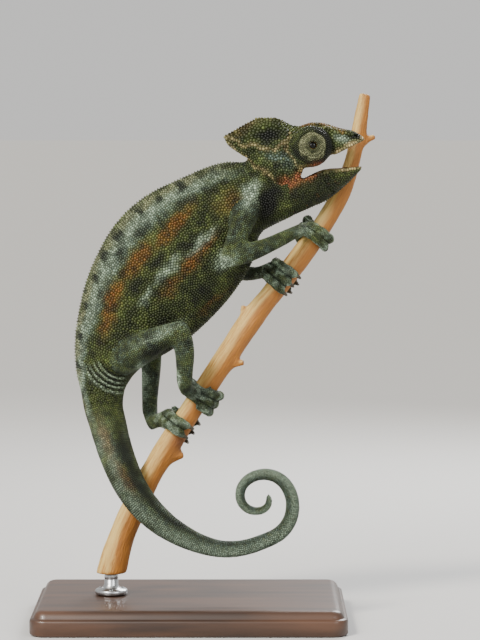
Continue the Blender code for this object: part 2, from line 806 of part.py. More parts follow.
def joint_cutters():
    """A thin cutter at every elbow, knee, wrist and ankle."""
    discs = []
    for upper, lower, _ in chains():
        bend = (way_at(upper, 0.9) + way_at(lower, 0.1)).normalized()
        fold = (way_at(lower, 0.1) - way_at(upper, 0.9)).normalized()
        reach = [share * upper[-1][3] for share in BEND_PLATE]
        discs.append(plate(upper[-1][:3], bend, fold, reach))
        x, y, z, radius = spline(lower, WRIST_SHARE)
        discs.append(disc((x, y, z), way_at(lower, WRIST_SHARE), radius * JOINT_DISC))
    return discs


def root_cutters():
    """A thin shell that follows the flank, within a ball round each limb's root."""
    shells = []
    for x, y, z, radius in ROOT_BALLS:
        shell = trunk(FLANK_LIFT + FIT_GAP)
        cut(shell, trunk(FLANK_LIFT), "DIFFERENCE")
        cut(shell, ball((x, y, z), radius), "INTERSECT")
        shells.append(shell)
    return shells


def turret_solid(side, grow=0.0, sides=18):
    base, axis = eye_axis(side)
    profile = [(out + (grow if i else -grow), radius + grow) for i, (out, radius) in enumerate(EYE_DOME)]
    return turned("turret", base, axis, profile, sides)


def eyes():
    """Each turret as a hollow dome of lids round its eyeball."""
    for side, word in ((-1, "right"), (1, "left")):
        base, axis = eye_axis(side)
        centre = base + axis * EYEBALL_OUT
        lids = turret_solid(side)
        lids.name = f"{word}_eye_turret"
        cut(lids, ball(centre, EYEBALL_RADIUS + FIT_GAP, sides=12), "DIFFERENCE")
        hole = ((EYEBALL_OUT, EYE_OPENING), (12.0, EYE_OPENING))
        cut(lids, turned("opening", base, axis, hole, 10), "DIFFERENCE")
        eyeball = ball(centre, EYEBALL_RADIUS, sides=12)
        eyeball.name = f"{word}_eye"


def tongue():
    stations = [(x, 0.0, z, high, wide) for x, z, high, wide in along(TONGUE_LINE, 7)]
    return tube("tongue", stations, 8)


def stand():
    """A plain slab with rounded corners, and a short rod up to the foot of the perch."""
    bm = bmesh.new()
    bmesh.ops.create_cube(bm, size=1)
    bmesh.ops.scale(bm, vec=Vector((BASE_LENGTH, BASE_WIDTH, BASE_HEIGHT)) * MM, verts=bm.verts)
    bmesh.ops.translate(bm, vec=(0, 0, BASE_HEIGHT / 2 * MM), verts=bm.verts)
    upright = [e for e in bm.edges if abs(e.verts[0].co.z - e.verts[1].co.z) > MM]
    bmesh.ops.bevel(bm, geom=upright, offset=BASE_CORNER * MM, segments=5, profile=0.5, affect="EDGES")
    brim = [e for e in bm.edges if min(v.co.z for v in e.verts) > (BASE_HEIGHT - 0.1) * MM]
    bmesh.ops.bevel(bm, geom=brim, offset=BASE_EDGE * MM, segments=2, profile=0.5, affect="EDGES")
    object_of("stand_base", bm)
    foot_x = spline(PERCH_LINE, perch_share_at(PERCH_FOOT))[0]
    low, high = BASE_HEIGHT + FIT_GAP, PERCH_FOOT - FIT_GAP
    profile = (
        (low, COLLAR_RADIUS),
        (low + COLLAR_HEIGHT - 0.4, COLLAR_RADIUS),
        (low + COLLAR_HEIGHT, COLLAR_RADIUS - 0.5),
        (low + COLLAR_HEIGHT, ROD_RADIUS),
        (high, ROD_RADIUS),
    )
    turned("stand_rod", Vector((foot_x, 0, 0)), Vector((0, 0, 1)), profile, 20)


def flesh():
    """The whole animal but its eyes in one skin, hollowed where it grips the perch."""
    claws = [grip.claw(side, tip) for grip in GRIP.values() for side, _, tip in grip.toe_rows()]
    pieces = [trunk(), tail(), head(), jaw(), *limbs(), *claws]
    whole = fused("animal", pieces, SKIN_VOXEL, SKIN_SMOOTH_PASSES)
    decimate(whole, SKIN_TRIANGLES)
    cut(whole, tube("clearance", perch_stations(FIT_GAP + 0.1), 20), "DIFFERENCE")
    for side in (-1, 1):
        cut(whole, turret_solid(side, FIT_GAP), "DIFFERENCE")
    for line in (*HEAD_SLITS, NECK_SLIT):
        cut(whole, slit(line, SLIT_REACH), "DIFFERENCE")
    for shell in root_cutters():
        cut(whole, shell, "DIFFERENCE")
    discs = [disc((x, y, z), way, radius) for x, y, z, way, radius in TAIL_DISCS]
    return cut(whole, joined("discs", discs + joint_cutters()), "DIFFERENCE")


def loose_parts(obj):
    """Splits an object into one object for each of its unconnected solids."""
    bm = bmesh.new()
    bm.from_mesh(obj.data)
    bpy.data.objects.remove(obj)
    bmesh.ops.dissolve_degenerate(bm, dist=WELD * MM, edges=bm.edges)
    bm.verts.index_update()
    found = []
    seen = set()
    for first in bm.verts:
        if first in seen:
            continue
        seen.add(first)
        island = [first]
        for vert in island:
            for edge in vert.link_edges:
                other = edge.other_vert(vert)
                if other not in seen:
                    seen.add(other)
                    island.append(other)
        found.append(island)
    parts = []
    for island in found:
        single = bm.copy()
        keep = {vert.index for vert in island}
        bmesh.ops.delete(single, geom=[v for v in single.verts if v.index not in keep], context="VERTS")
        parts.append(object_of("part", single))
    bm.free()
    return parts


def nearness(obj, point):
    """Squared distance in millimetres from a point to the nearest corner of an object."""
    place = Vector(point) * MM
    return min((v.co - place).length_squared for v in obj.data.vertices)


def part_pieces(parts):
    """Names every solid by the point it lies nearest to, and keeps each to its triangles."""
    crumbs = sorted(parts, key=lambda part: len(part.data.vertices))
    while len(crumbs) > len(PIECES):
        bpy.data.objects.remove(crumbs.pop(0))
    free = list(crumbs)
    for name, (point, triangles) in PIECES.items():
        piece = min(free, key=lambda part: nearness(part, point))
        free.remove(piece)
        piece.name = name
        decimate(piece, triangles)


GRIP = {name: Grip(name, **facts) for name, facts in GRIPS.items()}


def linear(channel):
    """One sRGB channel, 0 to 1, as linear light."""
    return channel / 12.92 if channel <= 0.04045 else ((channel + 0.055) / 1.055) ** 2.4


def material(name):
    found = bpy.data.materials.get(name)
    if found:
        return found
    colour, roughness, metallic = MATERIALS[name]
    made = bpy.data.materials.new(name)
    made.use_nodes = True
    shader = made.node_tree.nodes["Principled BSDF"]
    channels = [linear(int(colour[i : i + 2], 16) / 255) for i in (1, 3, 5)]
    shader.inputs["Base Color"].default_value = (*channels, 1)
    shader.inputs["Roughness"].default_value = roughness
    shader.inputs["Metallic"].default_value = metallic
    return made


def dress_and_place():
    """Gives every solid its material, and an origin at its own middle under one of two empties."""
    groups = {}
    for name in ("chameleon", "display_stand"):
        groups[name] = bpy.data.objects.new(name, None)
        groups[name].empty_display_size = 10 * MM
        bpy.context.scene.collection.objects.link(groups[name])
    for obj in list(bpy.data.objects):
        if obj.type != "MESH":
            continue
        ending = next((word for word in MATERIAL_OF if obj.name.endswith(word)), None)
        obj.data.materials.clear()
        obj.data.materials.append(material(MATERIAL_OF.get(ending, "scaly_skin")))
        obj.data.shade_smooth()
        obj.data.set_sharp_from_angle(angle=math.radians(SMOOTH_ANGLE))
        corners = [v.co for v in obj.data.vertices]
        middle = Vector([round((min(c[i] for c in corners) + max(c[i] for c in corners)) / 2, 4) for i in range(3)])
        obj.data.transform(Matrix.Translation(-middle))
        obj.location = middle
        stands = obj.name.startswith(("stand_", "perch_"))
        obj.parent = groups["display_stand" if stands else "chameleon"]


def main():
    clear_scene()
    stand()
    perch()
    eyes()
    tongue()
    part_pieces(loose_parts(flesh()))
    dress_and_place()


if __name__ == "__main__":
    main()
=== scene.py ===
"""Looks of a life-size common chameleon, a still display model on a cut branch.

One skin covers the animal from lips to tail tip. Thousands of small scales stand on it,
each a closed bead cut to fit its neighbours, and skin and scales take their colours from
the same marks, which hold painted highlights and painted shade as well. Eyes, claws and
tongue are pieces of their own. The branch, the wooden base and the steel rod below carry it.

Sizes and places are in millimetres until a mesh is made. X runs towards the snout, Z up,
and the animal's right side faces -Y.
"""

from __future__ import annotations

import logging
import math
from collections.abc import Iterable, Sequence
from dataclasses import dataclass, field
from enum import Enum
from typing import Any

import bmesh
import bpy
import numpy as np
from mathutils import Matrix, Vector, noise
from mathutils.bvhtree import BVHTree
from mathutils.kdtree import KDTree

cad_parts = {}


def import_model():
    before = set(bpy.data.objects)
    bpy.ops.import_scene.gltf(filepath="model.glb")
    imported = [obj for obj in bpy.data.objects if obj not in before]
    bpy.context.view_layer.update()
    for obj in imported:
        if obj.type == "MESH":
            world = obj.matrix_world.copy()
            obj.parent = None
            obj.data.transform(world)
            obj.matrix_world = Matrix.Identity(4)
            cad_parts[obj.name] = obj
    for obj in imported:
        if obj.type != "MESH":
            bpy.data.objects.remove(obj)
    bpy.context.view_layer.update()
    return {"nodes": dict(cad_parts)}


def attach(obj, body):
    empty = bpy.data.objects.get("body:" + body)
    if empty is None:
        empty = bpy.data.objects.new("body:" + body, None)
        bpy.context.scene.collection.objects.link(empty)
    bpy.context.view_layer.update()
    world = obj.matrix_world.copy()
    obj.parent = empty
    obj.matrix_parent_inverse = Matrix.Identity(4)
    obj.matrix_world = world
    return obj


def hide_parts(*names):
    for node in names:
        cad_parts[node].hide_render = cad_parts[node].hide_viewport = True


MM = 0.001
BODY = "root"

log = logging.getLogger("chameleon")

Point = tuple[float, float, float]
Station = tuple[float, float, float, float]


class Side(Enum):
    """The animal's two sides, with the sign of Y on each."""

    RIGHT = -1
    LEFT = 1


class Zone(Enum):
    """The kinds of skin, which differ in the size and shape of their scales."""

    HEAD = 0
    JAW = 1
    TURRET = 2
    NECK = 3
    TRUNK = 4
    LIMB = 5
    FOOT = 6
    TAIL = 7


FLESH: dict[str, Zone] = {
    "head": Zone.HEAD,
    "lower_jaw": Zone.JAW,
    "right_eye_turret": Zone.TURRET,
    "left_eye_turret": Zone.TURRET,
    "neck": Zone.NECK,
    "trunk": Zone.TRUNK,
    "right_upper_arm": Zone.LIMB,
    "left_upper_arm": Zone.LIMB,
    "right_forearm": Zone.LIMB,
    "left_forearm": Zone.LIMB,
    "right_hand": Zone.FOOT,
    "left_hand": Zone.FOOT,
    "right_thigh": Zone.LIMB,
    "left_thigh": Zone.LIMB,
    "right_shin": Zone.LIMB,
    "left_shin": Zone.LIMB,
    "right_foot": Zone.FOOT,
    "left_foot": Zone.FOOT,
    "tail_base": Zone.TAIL,
    "tail_mid": Zone.TAIL,
    "tail_sweep": Zone.TAIL,
    "tail_tip": Zone.TAIL,
}


# ---------------------------------------------------------------- small helpers


def linear(colour: str) -> tuple[float, float, float, float]:
    """Turns an sRGB hex colour to the linear values that a shader takes.

    Args:
        colour: the colour as "#rrggbb".

    Returns:
        Linear red, green, blue and an alpha of 1.
    """
    parts = []
    for k in (1, 3, 5):
        value = int(colour[k : k + 2], 16) / 255
        parts.append(value / 12.92 if value <= 0.04045 else ((value + 0.055) / 1.055) ** 2.4)
    return (parts[0], parts[1], parts[2], 1.0)


def add_node(
    tree: bpy.types.NodeTree, kind: str, inputs: dict[Any, Any] | None = None, **settings: Any
) -> bpy.types.Node:
    """Adds a shader node, sets it up and links it.

    Args:
        tree: the material's node tree.
        kind: the node's type without "ShaderNode".
        inputs: for each input's name or number, a value or the socket that feeds it.
        settings: the node's own properties.

    Returns:
        The new node.
    """
    node = tree.nodes.new("ShaderNode" + kind)
    for key, value in settings.items():
        setattr(node, key, value)
    for key, value in (inputs or {}).items():
        if isinstance(value, bpy.types.NodeSocket):
            tree.links.new(value, node.inputs[key])
        else:
            node.inputs[key].default_value = value
    return node


def new_material(name: str) -> tuple[bpy.types.Material, bpy.types.NodeTree]:
    """Makes an empty node material and returns it with its tree."""
    material = bpy.data.materials.new(name)
    material.use_nodes = True
    material.node_tree.nodes.clear()
    return material, material.node_tree


def curve_at(stations: Sequence[Sequence[float]], share: float) -> np.ndarray:
    """Reads a smooth curve through stations.

    Args:
        stations: rows of numbers, each row a place on the way.
        share: how far along the rows, from 0 to 1.

    Returns:
        The row of numbers there.
    """
    rows = np.asarray(stations, float)
    place = min(max(share, 0.0), 1.0) * (len(rows) - 1)
    k = min(int(place), len(rows) - 2)
    t = place - k
    p1, p2 = rows[k], rows[k + 1]
    p0 = rows[k - 1] if k > 0 else 2 * p1 - p2
    p3 = rows[k + 2] if k + 2 < len(rows) else 2 * p2 - p1
    return 0.5 * (2 * p1 + (p2 - p0) * t + (2 * p0 - 5 * p1 + 4 * p2 - p3) * t**2 + (3 * p1 - p0 - 3 * p2 + p3) * t**3)


def smooth_step(low: float, high: float, value: np.ndarray) -> np.ndarray:
    """Rises smoothly from 0 at low to 1 at high."""
    t = np.clip((value - low) / (high - low), 0.0, 1.0)
    return t * t * (3 - 2 * t)


def noise_at(points: np.ndarray, size: float, seed: float = 0.0) -> np.ndarray:
    """Smooth noise from about -1 to 1 at each point.

    Args:
        points: rows of x, y, z in millimetres.
        size: the width of the noise's lumps in millimetres.
        seed: shifts the noise, so that two readings differ.

    Returns:
        One number for each point.
    """
    shifted = points / size + seed
    return np.array([noise.noise(p) for p in shifted.tolist()])


def near_line(points: np.ndarray, line: Sequence[Point]) -> tuple[np.ndarray, np.ndarray]:
    """How far points lie from a bent line, and how far along it they are.

    Args:
        points: rows of x, y, z.
        line: the line's corners.

    Returns:
        The distance and the share of the line's length, for each point.
    """
    corners = np.asarray(line, float)
    spans = np.linalg.norm(np.diff(corners, axis=0), axis=1)
    passed = np.concatenate([[0.0], np.cumsum(spans)])
    best = np.full(len(points), 1e9)
    share = np.zeros(len(points))
    for k, span in enumerate(spans):
        way = (corners[k + 1] - corners[k]) / span
        along = np.clip((points - corners[k]) @ way, 0.0, span)
        gap = np.linalg.norm(points - corners[k] - along[:, None] * way, axis=1)
        closer = gap < best
        best = np.where(closer, gap, best)
        share = np.where(closer, (passed[k] + along) / passed[-1], share)
    return best, share


def mesh_object(name: str, mesh: bpy.types.Mesh, material: bpy.types.Material | None = None) -> bpy.types.Object:
    """Links a mesh to the scene as an object at the origin, smooth shaded."""
    obj = bpy.data.objects.new(name, mesh)
    bpy.context.scene.collection.objects.link(obj)
    mesh.shade_smooth()
    if material:
        mesh.materials.append(material)
    return obj


def bmesh_object(name: str, bm: bmesh.types.BMesh, material: bpy.types.Material | None = None) -> bpy.types.Object:
    """Turns a bmesh in millimetres to an object in metres, and frees the bmesh."""
    bmesh.ops.scale(bm, vec=(MM, MM, MM), verts=bm.verts)
    mesh = bpy.data.meshes.new(name)
    bm.to_mesh(mesh)
    bm.free()
    return mesh_object(name, mesh, material)


def apply_modifiers(obj: bpy.types.Object) -> None:
    """Gives an object the mesh that its modifiers make, and clears them."""
    graph = bpy.context.evaluated_depsgraph_get()
    made = bpy.data.meshes.new_from_object(obj.evaluated_get(graph))
    old = obj.data
    obj.modifiers.clear()
    obj.data = made
    bpy.data.meshes.remove(old)


def tube_rings(
    bm: bmesh.types.BMesh, stations: Sequence[Station], sides: int, squash: float = 1.0
) -> list[bmesh.types.BMVert]:
    """Draws a closed round tube through stations with circle and extrude operators.

    Args:
        bm: where the tube is made.
        stations: (x, y, z, radius) along the tube.
        sides: corners of each ring.
        squash: the rings' thickness across the tube's side, as a share of the radius.

    Returns:
        All the tube's corners.
    """
    rows = np.asarray(stations, float)
    centres = [Vector(r[:3]) for r in rows]
    made: list[bmesh.types.BMVert] = []
    side = Vector((0, 1, 0))
    edges: list[bmesh.types.BMEdge] = []
    for k, centre in enumerate(centres):
        way = (centres[min(k + 1, len(centres) - 1)] - centres[max(k - 1, 0)]).normalized()
        side = (side - way * side.dot(way)).normalized()
        up = way.cross(side)
        if k == 0:
            ring = bmesh.ops.create_circle(bm, cap_ends=False, segments=sides, radius=1.0)["verts"]
            edges = list({e for v in ring for e in v.link_edges})
        else:
            grown = bmesh.ops.extrude_edge_only(bm, edges=edges)["geom"]
            ring = [g for g in grown if isinstance(g, bmesh.types.BMVert)]
            edges = [g for g in grown if isinstance(g, bmesh.types.BMEdge) and all(v in ring for v in g.verts)]
        if k == 0:
            order = list(ring)
        else:
            order = [next(e.other_vert(v) for e in v.link_edges if e.other_vert(v) in set(ring)) for v in order]
        for n, vert in enumerate(order):
            turn = math.tau * n / sides
            vert.co = centre + (side * (math.cos(turn) * squash) + up * math.sin(turn)) * rows[k][3]
        made += order
        if k in (0, len(centres) - 1):
            bmesh.ops.contextual_create(bm, geom=edges)
    bmesh.ops.recalc_face_normals(bm, faces=list({f for v in made for f in v.link_faces}))
    return made


# ---------------------------------------------------------------- the body's own lines

BACKBONE: tuple[tuple[float, float, float, float, float], ...] = (  # x, y, z, half depth, half width
    (38.0, 0.0, 156.5, 7.0, 6.5),
    (29.5, 0.0, 154.6, 11.0, 8.6),
    (21.6, 0.0, 152.8, 13.8, 9.2),
    (14.6, 0.0, 149.6, 17.2, 9.8),
    (3.9, 0.0, 139.7, 22.7, 11.0),
    (-6.1, 0.0, 130.2, 24.7, 11.8),
    (-14.7, 0.0, 119.3, 23.3, 11.8),
    (-22.0, 0.0, 109.4, 19.9, 10.8),
    (-27.6, 0.0, 100.6, 15.2, 9.4),
    (-30.6, 0.0, 92.6, 11.6, 8.0),
    (-32.0, 0.0, 85.0, 8.7, 6.9),
)
TAIL: tuple[tuple[float, float, float, float, float], ...] = (
    (-31.4, -0.6, 78.6, 7.5, 6.4),
    (-29.6, -2.4, 71.6, 7.0, 6.1),
    (-26.6, -6.6, 61.6, 6.6, 5.8),
    (-21.8, -10.6, 50.8, 6.1, 5.4),
    (-15.6, -12.2, 42.2, 5.6, 4.9),
    (-7.7, -12.2, 35.2, 4.9, 4.3),
    (1.8, -11.8, 29.9, 4.0, 3.6),
    (11.5, -11.2, 27.2, 3.4, 3.1),
    (20.4, -10.8, 27.8, 3.15, 2.9),
)
CURL_CENTRE: Point = (26.2, -10.4, 45.8)
CURL_RADII: tuple[float, ...] = (15.6, 10.4, 8.4, 8.3, 4.7, 2.1, 1.5)
CURL_THICK: tuple[float, float] = (3.0, 1.25)
CURL_TURN: tuple[float, float] = (-76.0, 405.0)

LIMBS: dict[str, tuple[Station, ...]] = {
    "right_arm": ((20.6, -4.2, 151.6, 4.6), (19.4, -9.6, 146.6, 5.0), (16.9, -13.4, 139.0, 3.7), (13.6, -16.0, 131.6, 3.3)),
    "right_forearm": ((13.6, -16.0, 131.6, 3.4), (19.8, -15.0, 133.2, 3.7), (28.6, -12.2, 136.4, 3.0), (37.4, -8.2, 140.6, 2.6)),
    "left_arm": ((20.6, 4.2, 151.6, 4.6), (18.6, 10.0, 146.4, 5.0), (15.2, 13.6, 138.0, 3.7), (12.0, 16.0, 129.6, 3.3)),
    "left_forearm": ((12.0, 16.0, 129.6, 3.4), (14.6, 14.2, 126.6, 3.5), (19.4, 10.4, 125.0, 3.0), (25.0, 6.4, 125.2, 2.6)),
    "right_thigh": ((-27.0, -2.8, 93.6, 5.0), (-20.4, -9.8, 97.2, 6.0), (-11.4, -14.8, 102.8, 4.8), (-3.0, -17.2, 106.2, 3.6)),
    "right_shin": ((-3.0, -17.2, 106.2, 3.6), (-1.6, -16.8, 99.2, 3.8), (-1.6, -14.8, 91.6, 3.2), (-1.8, -11.8, 84.6, 2.8)),
    "left_thigh": ((-27.0, 2.8, 93.0, 5.0), (-22.4, 9.2, 95.0, 5.8), (-17.8, 14.2, 97.2, 4.6), (-13.8, 16.0, 98.2, 3.6)),
    "left_shin": ((-13.8, 16.0, 98.2, 3.6), (-14.4, 15.0, 89.6, 3.8), (-14.9, 11.8, 79.6, 3.2), (-14.4, 7.6, 70.2, 2.8)),
}

PERCH: tuple[Station, ...] = (
    (-29.6, 0.0, 13.0, 5.4),
    (-25.2, 0.0, 29.5, 5.0),
    (-18.7, 0.0, 43.9, 4.6),
    (-11.2, 0.0, 58.0, 4.3),
    (4.7, 0.0, 82.8, 4.2),
    (22.3, 0.0, 109.1, 4.2),
    (37.4, 1.0, 128.2, 4.1),
    (51.5, 5.6, 148.3, 3.7),
    (58.3, 11.4, 163.4, 3.2),
    (61.9, 13.8, 180.7, 2.7),
    (63.4, 14.2, 190.0, 2.5),
)

EYE_BASE: Point = (42.9, 5.6, 171.0)
EYE_AXIS: Point = (0.12, 0.97, 0.08)
EYE_DOME: tuple[tuple[float, float], ...] = (  # distance out along the axis, radius
    (-1.0, 7.4),
    (1.4, 7.8),
    (3.4, 7.5),
    (5.2, 6.6),
    (6.7, 5.2),
    (7.8, 3.6),
    (8.5, 2.1),
    (8.6, 1.5),
)
EYEBALL_OUT = 3.7
EYEBALL_RADIUS = 4.1


def eye_frame(side: Side) -> tuple[np.ndarray, np.ndarray]:
    """The middle of an eye turret's base and its axis, on one side."""
    base = np.array((EYE_BASE[0], EYE_BASE[1] * side.value, EYE_BASE[2]))
    axis = np.array((EYE_AXIS[0], EYE_AXIS[1] * side.value, EYE_AXIS[2]))
    return base, axis / np.linalg.norm(axis)


def curl_stations(count: int = 60) -> list[Station]:
    """The tail's rolled tip, as (x, y, z, half thickness) from its start to the very end."""
    start, end = CURL_TURN
    found = []
    for k in range(count):
        share = k / (count - 1)
        turn = start + (end - start) * share
        angle = math.radians(turn)
        radius = float(curve_at([(r,) for r in CURL_RADII], (turn + 90) / 90 / (len(CURL_RADII) - 1))[0])
        thick = CURL_THICK[0] + (CURL_THICK[1] - CURL_THICK[0]) * share**1.1
        x = CURL_CENTRE[0] + radius * math.cos(angle)
        z = CURL_CENTRE[2] + radius * math.sin(angle)
        found.append((x, CURL_CENTRE[1], z, thick))
    return found


# ---------------------------------------------------------------- a mesh as arrays


class Surface:
    """A triangle mesh held as arrays in millimetres, so that all its corners move at once."""

    def __init__(self, mesh: bpy.types.Mesh) -> None:
        """Reads the corners, edges and triangles of a mesh in metres."""
        flat = np.empty(len(mesh.vertices) * 3, np.float32)
        mesh.vertices.foreach_get("co", flat)
        self.points = flat.reshape(-1, 3).astype(float) / MM
        mesh.calc_loop_triangles()
        corners = np.empty(len(mesh.loop_triangles) * 3, np.int32)
        mesh.loop_triangles.foreach_get("vertices", corners)
        self.faces = corners.reshape(-1, 3)
        ends = np.empty(len(mesh.edges) * 2, np.int32)
        mesh.edges.foreach_get("vertices", ends)
        self.edges = ends.reshape(-1, 2)
        self.reach = np.bincount(self.edges.ravel(), minlength=len(self.points))

    def normals(self) -> np.ndarray:
        """The outward direction at every corner."""
        a, b, c = (self.points[self.faces[:, k]] for k in range(3))
        across = np.cross(b - a, c - a)
        total = np.stack(
            [np.bincount(self.faces.ravel(), np.repeat(across[:, k], 3), len(self.points)) for k in range(3)], axis=1
        )
        return total / np.maximum(np.linalg.norm(total, axis=1, keepdims=True), 1e-12)

    def averaged(self, values: np.ndarray) -> np.ndarray:
        """The mean of each corner's neighbours, for rows of numbers held at the corners."""
        a, b = self.edges.T
        total = np.stack(
            [
                np.bincount(a, values[b, k], len(values)) + np.bincount(b, values[a, k], len(values))
                for k in range(values.shape[1])
            ],
            axis=1,
        )
        return total / np.maximum(self.reach, 1)[:, None]

    def relax(self, passes: int, weight: np.ndarray | float = 1.0, keep: float = 0.53) -> None:
        """Smooths the surface.

        Args:
            passes: how many rounds.
            weight: how strongly each corner takes part, from 0 to 1.
            keep: the push back after each round, which holds the volume; 0 leaves it out.
        """
        share = np.broadcast_to(weight, len(self.points))[:, None]
        for _ in range(passes):
            self.points += (self.averaged(self.points) - self.points) * 0.5 * share
            if keep:
                self.points -= (self.averaged(self.points) - self.points) * keep * share

    def move(self, distance: np.ndarray | float) -> None:
        """Moves every corner along its own normal."""
        self.points += self.normals() * np.broadcast_to(distance, len(self.points))[:, None]

    def write(self, mesh: bpy.types.Mesh) -> None:
        """Puts the corners back into the mesh they came from."""
        mesh.vertices.foreach_set("co", (self.points * MM).astype(np.float32).ravel())
        mesh.update()


class NodeMap:
    """Tells which solid of the frame lies nearest to a place."""

    def __init__(self, nodes: dict[str, bpy.types.Object], names: Sequence[str]) -> None:
        """Gathers the named solids' triangles in one search tree."""
        self.names = list(names)
        corners: list[tuple[float, ...]] = []
        faces: list[tuple[int, ...]] = []
        self.owner: list[int] = []
        for number, name in enumerate(self.names):
            mesh = nodes[name].data
            start = len(corners)
            corners += [tuple(v.co / MM) for v in mesh.vertices]
            for polygon in mesh.polygons:
                faces.append(tuple(start + k for k in polygon.vertices))
                self.owner.append(number)
        self.tree = BVHTree.FromPolygons(corners, faces)

    def nearest(self, points: np.ndarray) -> np.ndarray:
        """The number of the nearest solid, in the order of names, for each point."""
        return np.array([self.owner[self.tree.find_nearest(p)[2]] for p in points.tolist()])


# ---------------------------------------------------------------- hands and feet


@dataclass
class Grip:
    """One hand's or foot's hold on the perch: a palm, two bundles of toes and their claws."""

    name: str
    height: float
    turn: float
    toes: tuple[int, int]  # toes that sweep the near way and the far way
    palm_size: Point = (4.2, 4.5, 3.2)  # half sizes along the perch, round it and out from it
    palm_rise: float = 1.9
    toe_radii: tuple[float, float] = (2.05, 1.66)
    toe_pitch: float = 3.05
    toe_spread: float = 1.28
    toe_sweep: tuple[float, float] = (20.0, 134.0)
    toe_round: float = 0.86  # share of the toe's length past which its end rounds off
    claw_root: float = 10.0
    claw_sweep: float = 44.0
    claw_radii: tuple[float, float] = (0.86, 0.06)
    middle: Vector = field(init=False)
    way: Vector = field(init=False)
    out: Vector = field(init=False)
    round: Vector = field(init=False)
    wood: float = field(init=False)

    def __post_init__(self) -> None:
        """Finds the grip's place on the perch and the directions from it."""
        low, high = 0.0, 1.0
        for _ in range(40):
            share = (low + high) / 2
            low, high = (share, high) if curve_at(PERCH, share)[2] < self.height else (low, share)
        place = curve_at(PERCH, low)
        self.middle, self.wood = Vector(place[:3]), float(place[3])
        self.way = Vector(curve_at(PERCH, low + 0.005)[:3] - curve_at(PERCH, low - 0.005)[:3]).normalized()
        back = Vector((0, -1, 0)).cross(self.way).normalized()
        if back.x > 0:
            back.negate()
        self.out = Matrix.Rotation(math.radians(self.turn), 3, self.way) @ back
        if self.out.y * math.sin(math.radians(self.turn)) > 0:
            self.out = Matrix.Rotation(math.radians(-self.turn), 3, self.way) @ back
        self.round = self.way.cross(self.out)
        if self.round.y > 0:
            self.round.negate()

    def at(self, angle: float, shift: float, lift: float, side: int) -> Vector:
        """A point round the perch.

        Args:
            angle: degrees round the wood from the middle of the palm.
            shift: distance up the perch.
            lift: distance out from the wood.
            side: 1 for the near way round, -1 for the far way.

        Returns:
            The point in millimetres.
        """
        turn = math.radians(angle)
        spoke = self.out * math.cos(turn) + self.round * (math.sin(turn) * side)
        return self.middle + self.way * shift + spoke * (self.wood + lift)

    def toe_rows(self) -> Iterable[tuple[int, float, float]]:
        """Yields the side, the shift at the root and the shift at the tip of each toe."""
        for side, count in zip((1, -1), self.toes, strict=True):
            for k in range(count):
                shift = (k - (count - 1) / 2) * self.toe_pitch
                yield side, shift * 0.92, shift * self.toe_spread

    def add_flesh(self, bm: bmesh.types.BMesh, wrist: Sequence[Station]) -> None:
        """Adds the palm, the toes and the wrist as overlapping solids, to be fused.

        Args:
            bm: where they are made.
            wrist: the last stations of the limb, which the palm continues.
        """
        made = bmesh.ops.create_uvsphere(bm, u_segments=24, v_segments=14, radius=1.0)["verts"]
        bmesh.ops.scale(bm, vec=self.palm_size, verts=made)
        turn = Matrix((self.way, self.round, self.out)).transposed().to_4x4()
        place = self.middle + self.out * (self.wood + self.palm_rise)
        bmesh.ops.transform(bm, matrix=Matrix.Translation(place) @ turn, verts=made)
        end = (*(self.middle + self.out * (self.wood + self.palm_rise * 1.1)), wrist[-1][3] * 0.96)
        tube_rings(bm, [*wrist, end], 18)
        for side, root, tip in self.toe_rows():
            stations = []
            for share in [k / 14 for k in range(13)] + [0.9, 0.94, 0.97, 0.99, 1.0]:
                radius = self.toe_radii[0] + (self.toe_radii[1] - self.toe_radii[0]) * share
                radius *= 1 + 0.1 * math.cos(share * 3 * math.tau)
                angle = self.toe_sweep[0] + (self.toe_sweep[1] - self.toe_sweep[0]) * share
                centre = self.at(angle, root + (tip - root) * share, radius * 0.94, side)
                past = max(0.0, share - self.toe_round) / (1.002 - self.toe_round)
                stations.append((*centre, radius * math.sqrt(1 - past**2)))
            tube_rings(bm, stations, 14)

    def grooves(self, points: np.ndarray) -> np.ndarray:
        """How far points sink into the clefts between the toes, from 0 to 1."""
        near = np.linalg.norm(points - np.array(self.middle), axis=1) < 16
        depth = np.zeros(len(points))
        for side in (1, -1):
            gaps = []
            for row_side, root, tip in self.toe_rows():
                if row_side == side:
                    steps = [k / 8 for k in range(9)]
                    line = [
                        tuple(self.at(24 + 118 * t, root + (tip - root) * t, 2.2, side)) for t in steps
                    ]
                    gaps.append(near_line(points[near], line)[0])
            rows = np.sort(np.array(gaps), axis=0)
            cleft = np.exp(-(((rows[1] - rows[0]) / 0.62) ** 2)) * (rows[0] < 3.2)
            depth[near] = np.maximum(depth[near], cleft)
        return depth

    def add_claws(self, bm: bmesh.types.BMesh) -> None:
        """Adds one curved, pointed claw at the end of each toe."""
        for side, _, tip in self.toe_rows():
            stations = []
            for k in range(9):
                share = k / 8
                radius = self.claw_radii[0] * (1 - share) ** 1.05 + self.claw_radii[1]
                angle = self.toe_sweep[1] - self.claw_root + self.claw_sweep * share
                lift = 1.5 + 0.5 * math.sin(share * math.pi) - 0.9 * share**2
                stations.append((*self.at(angle, tip, lift, side), radius))
            tube_rings(bm, stations, 10, 0.8)


GRIPS: tuple[Grip, ...] = (
    Grip("right_hand", 138.8, 44.0, (2, 3)),
    Grip("left_hand", 123.4, -12.0, (3, 2)),
    Grip("right_foot", 81.6, 78.0, (3, 2)),
    Grip("left_foot", 70.4, -14.0, (2, 3)),
)
WRISTS: dict[str, str] = {
    "right_hand": "right_forearm",
    "left_hand": "left_forearm",
    "right_foot": "right_shin",
    "left_foot": "left_shin",
}


# ---------------------------------------------------------------- ridges and folds


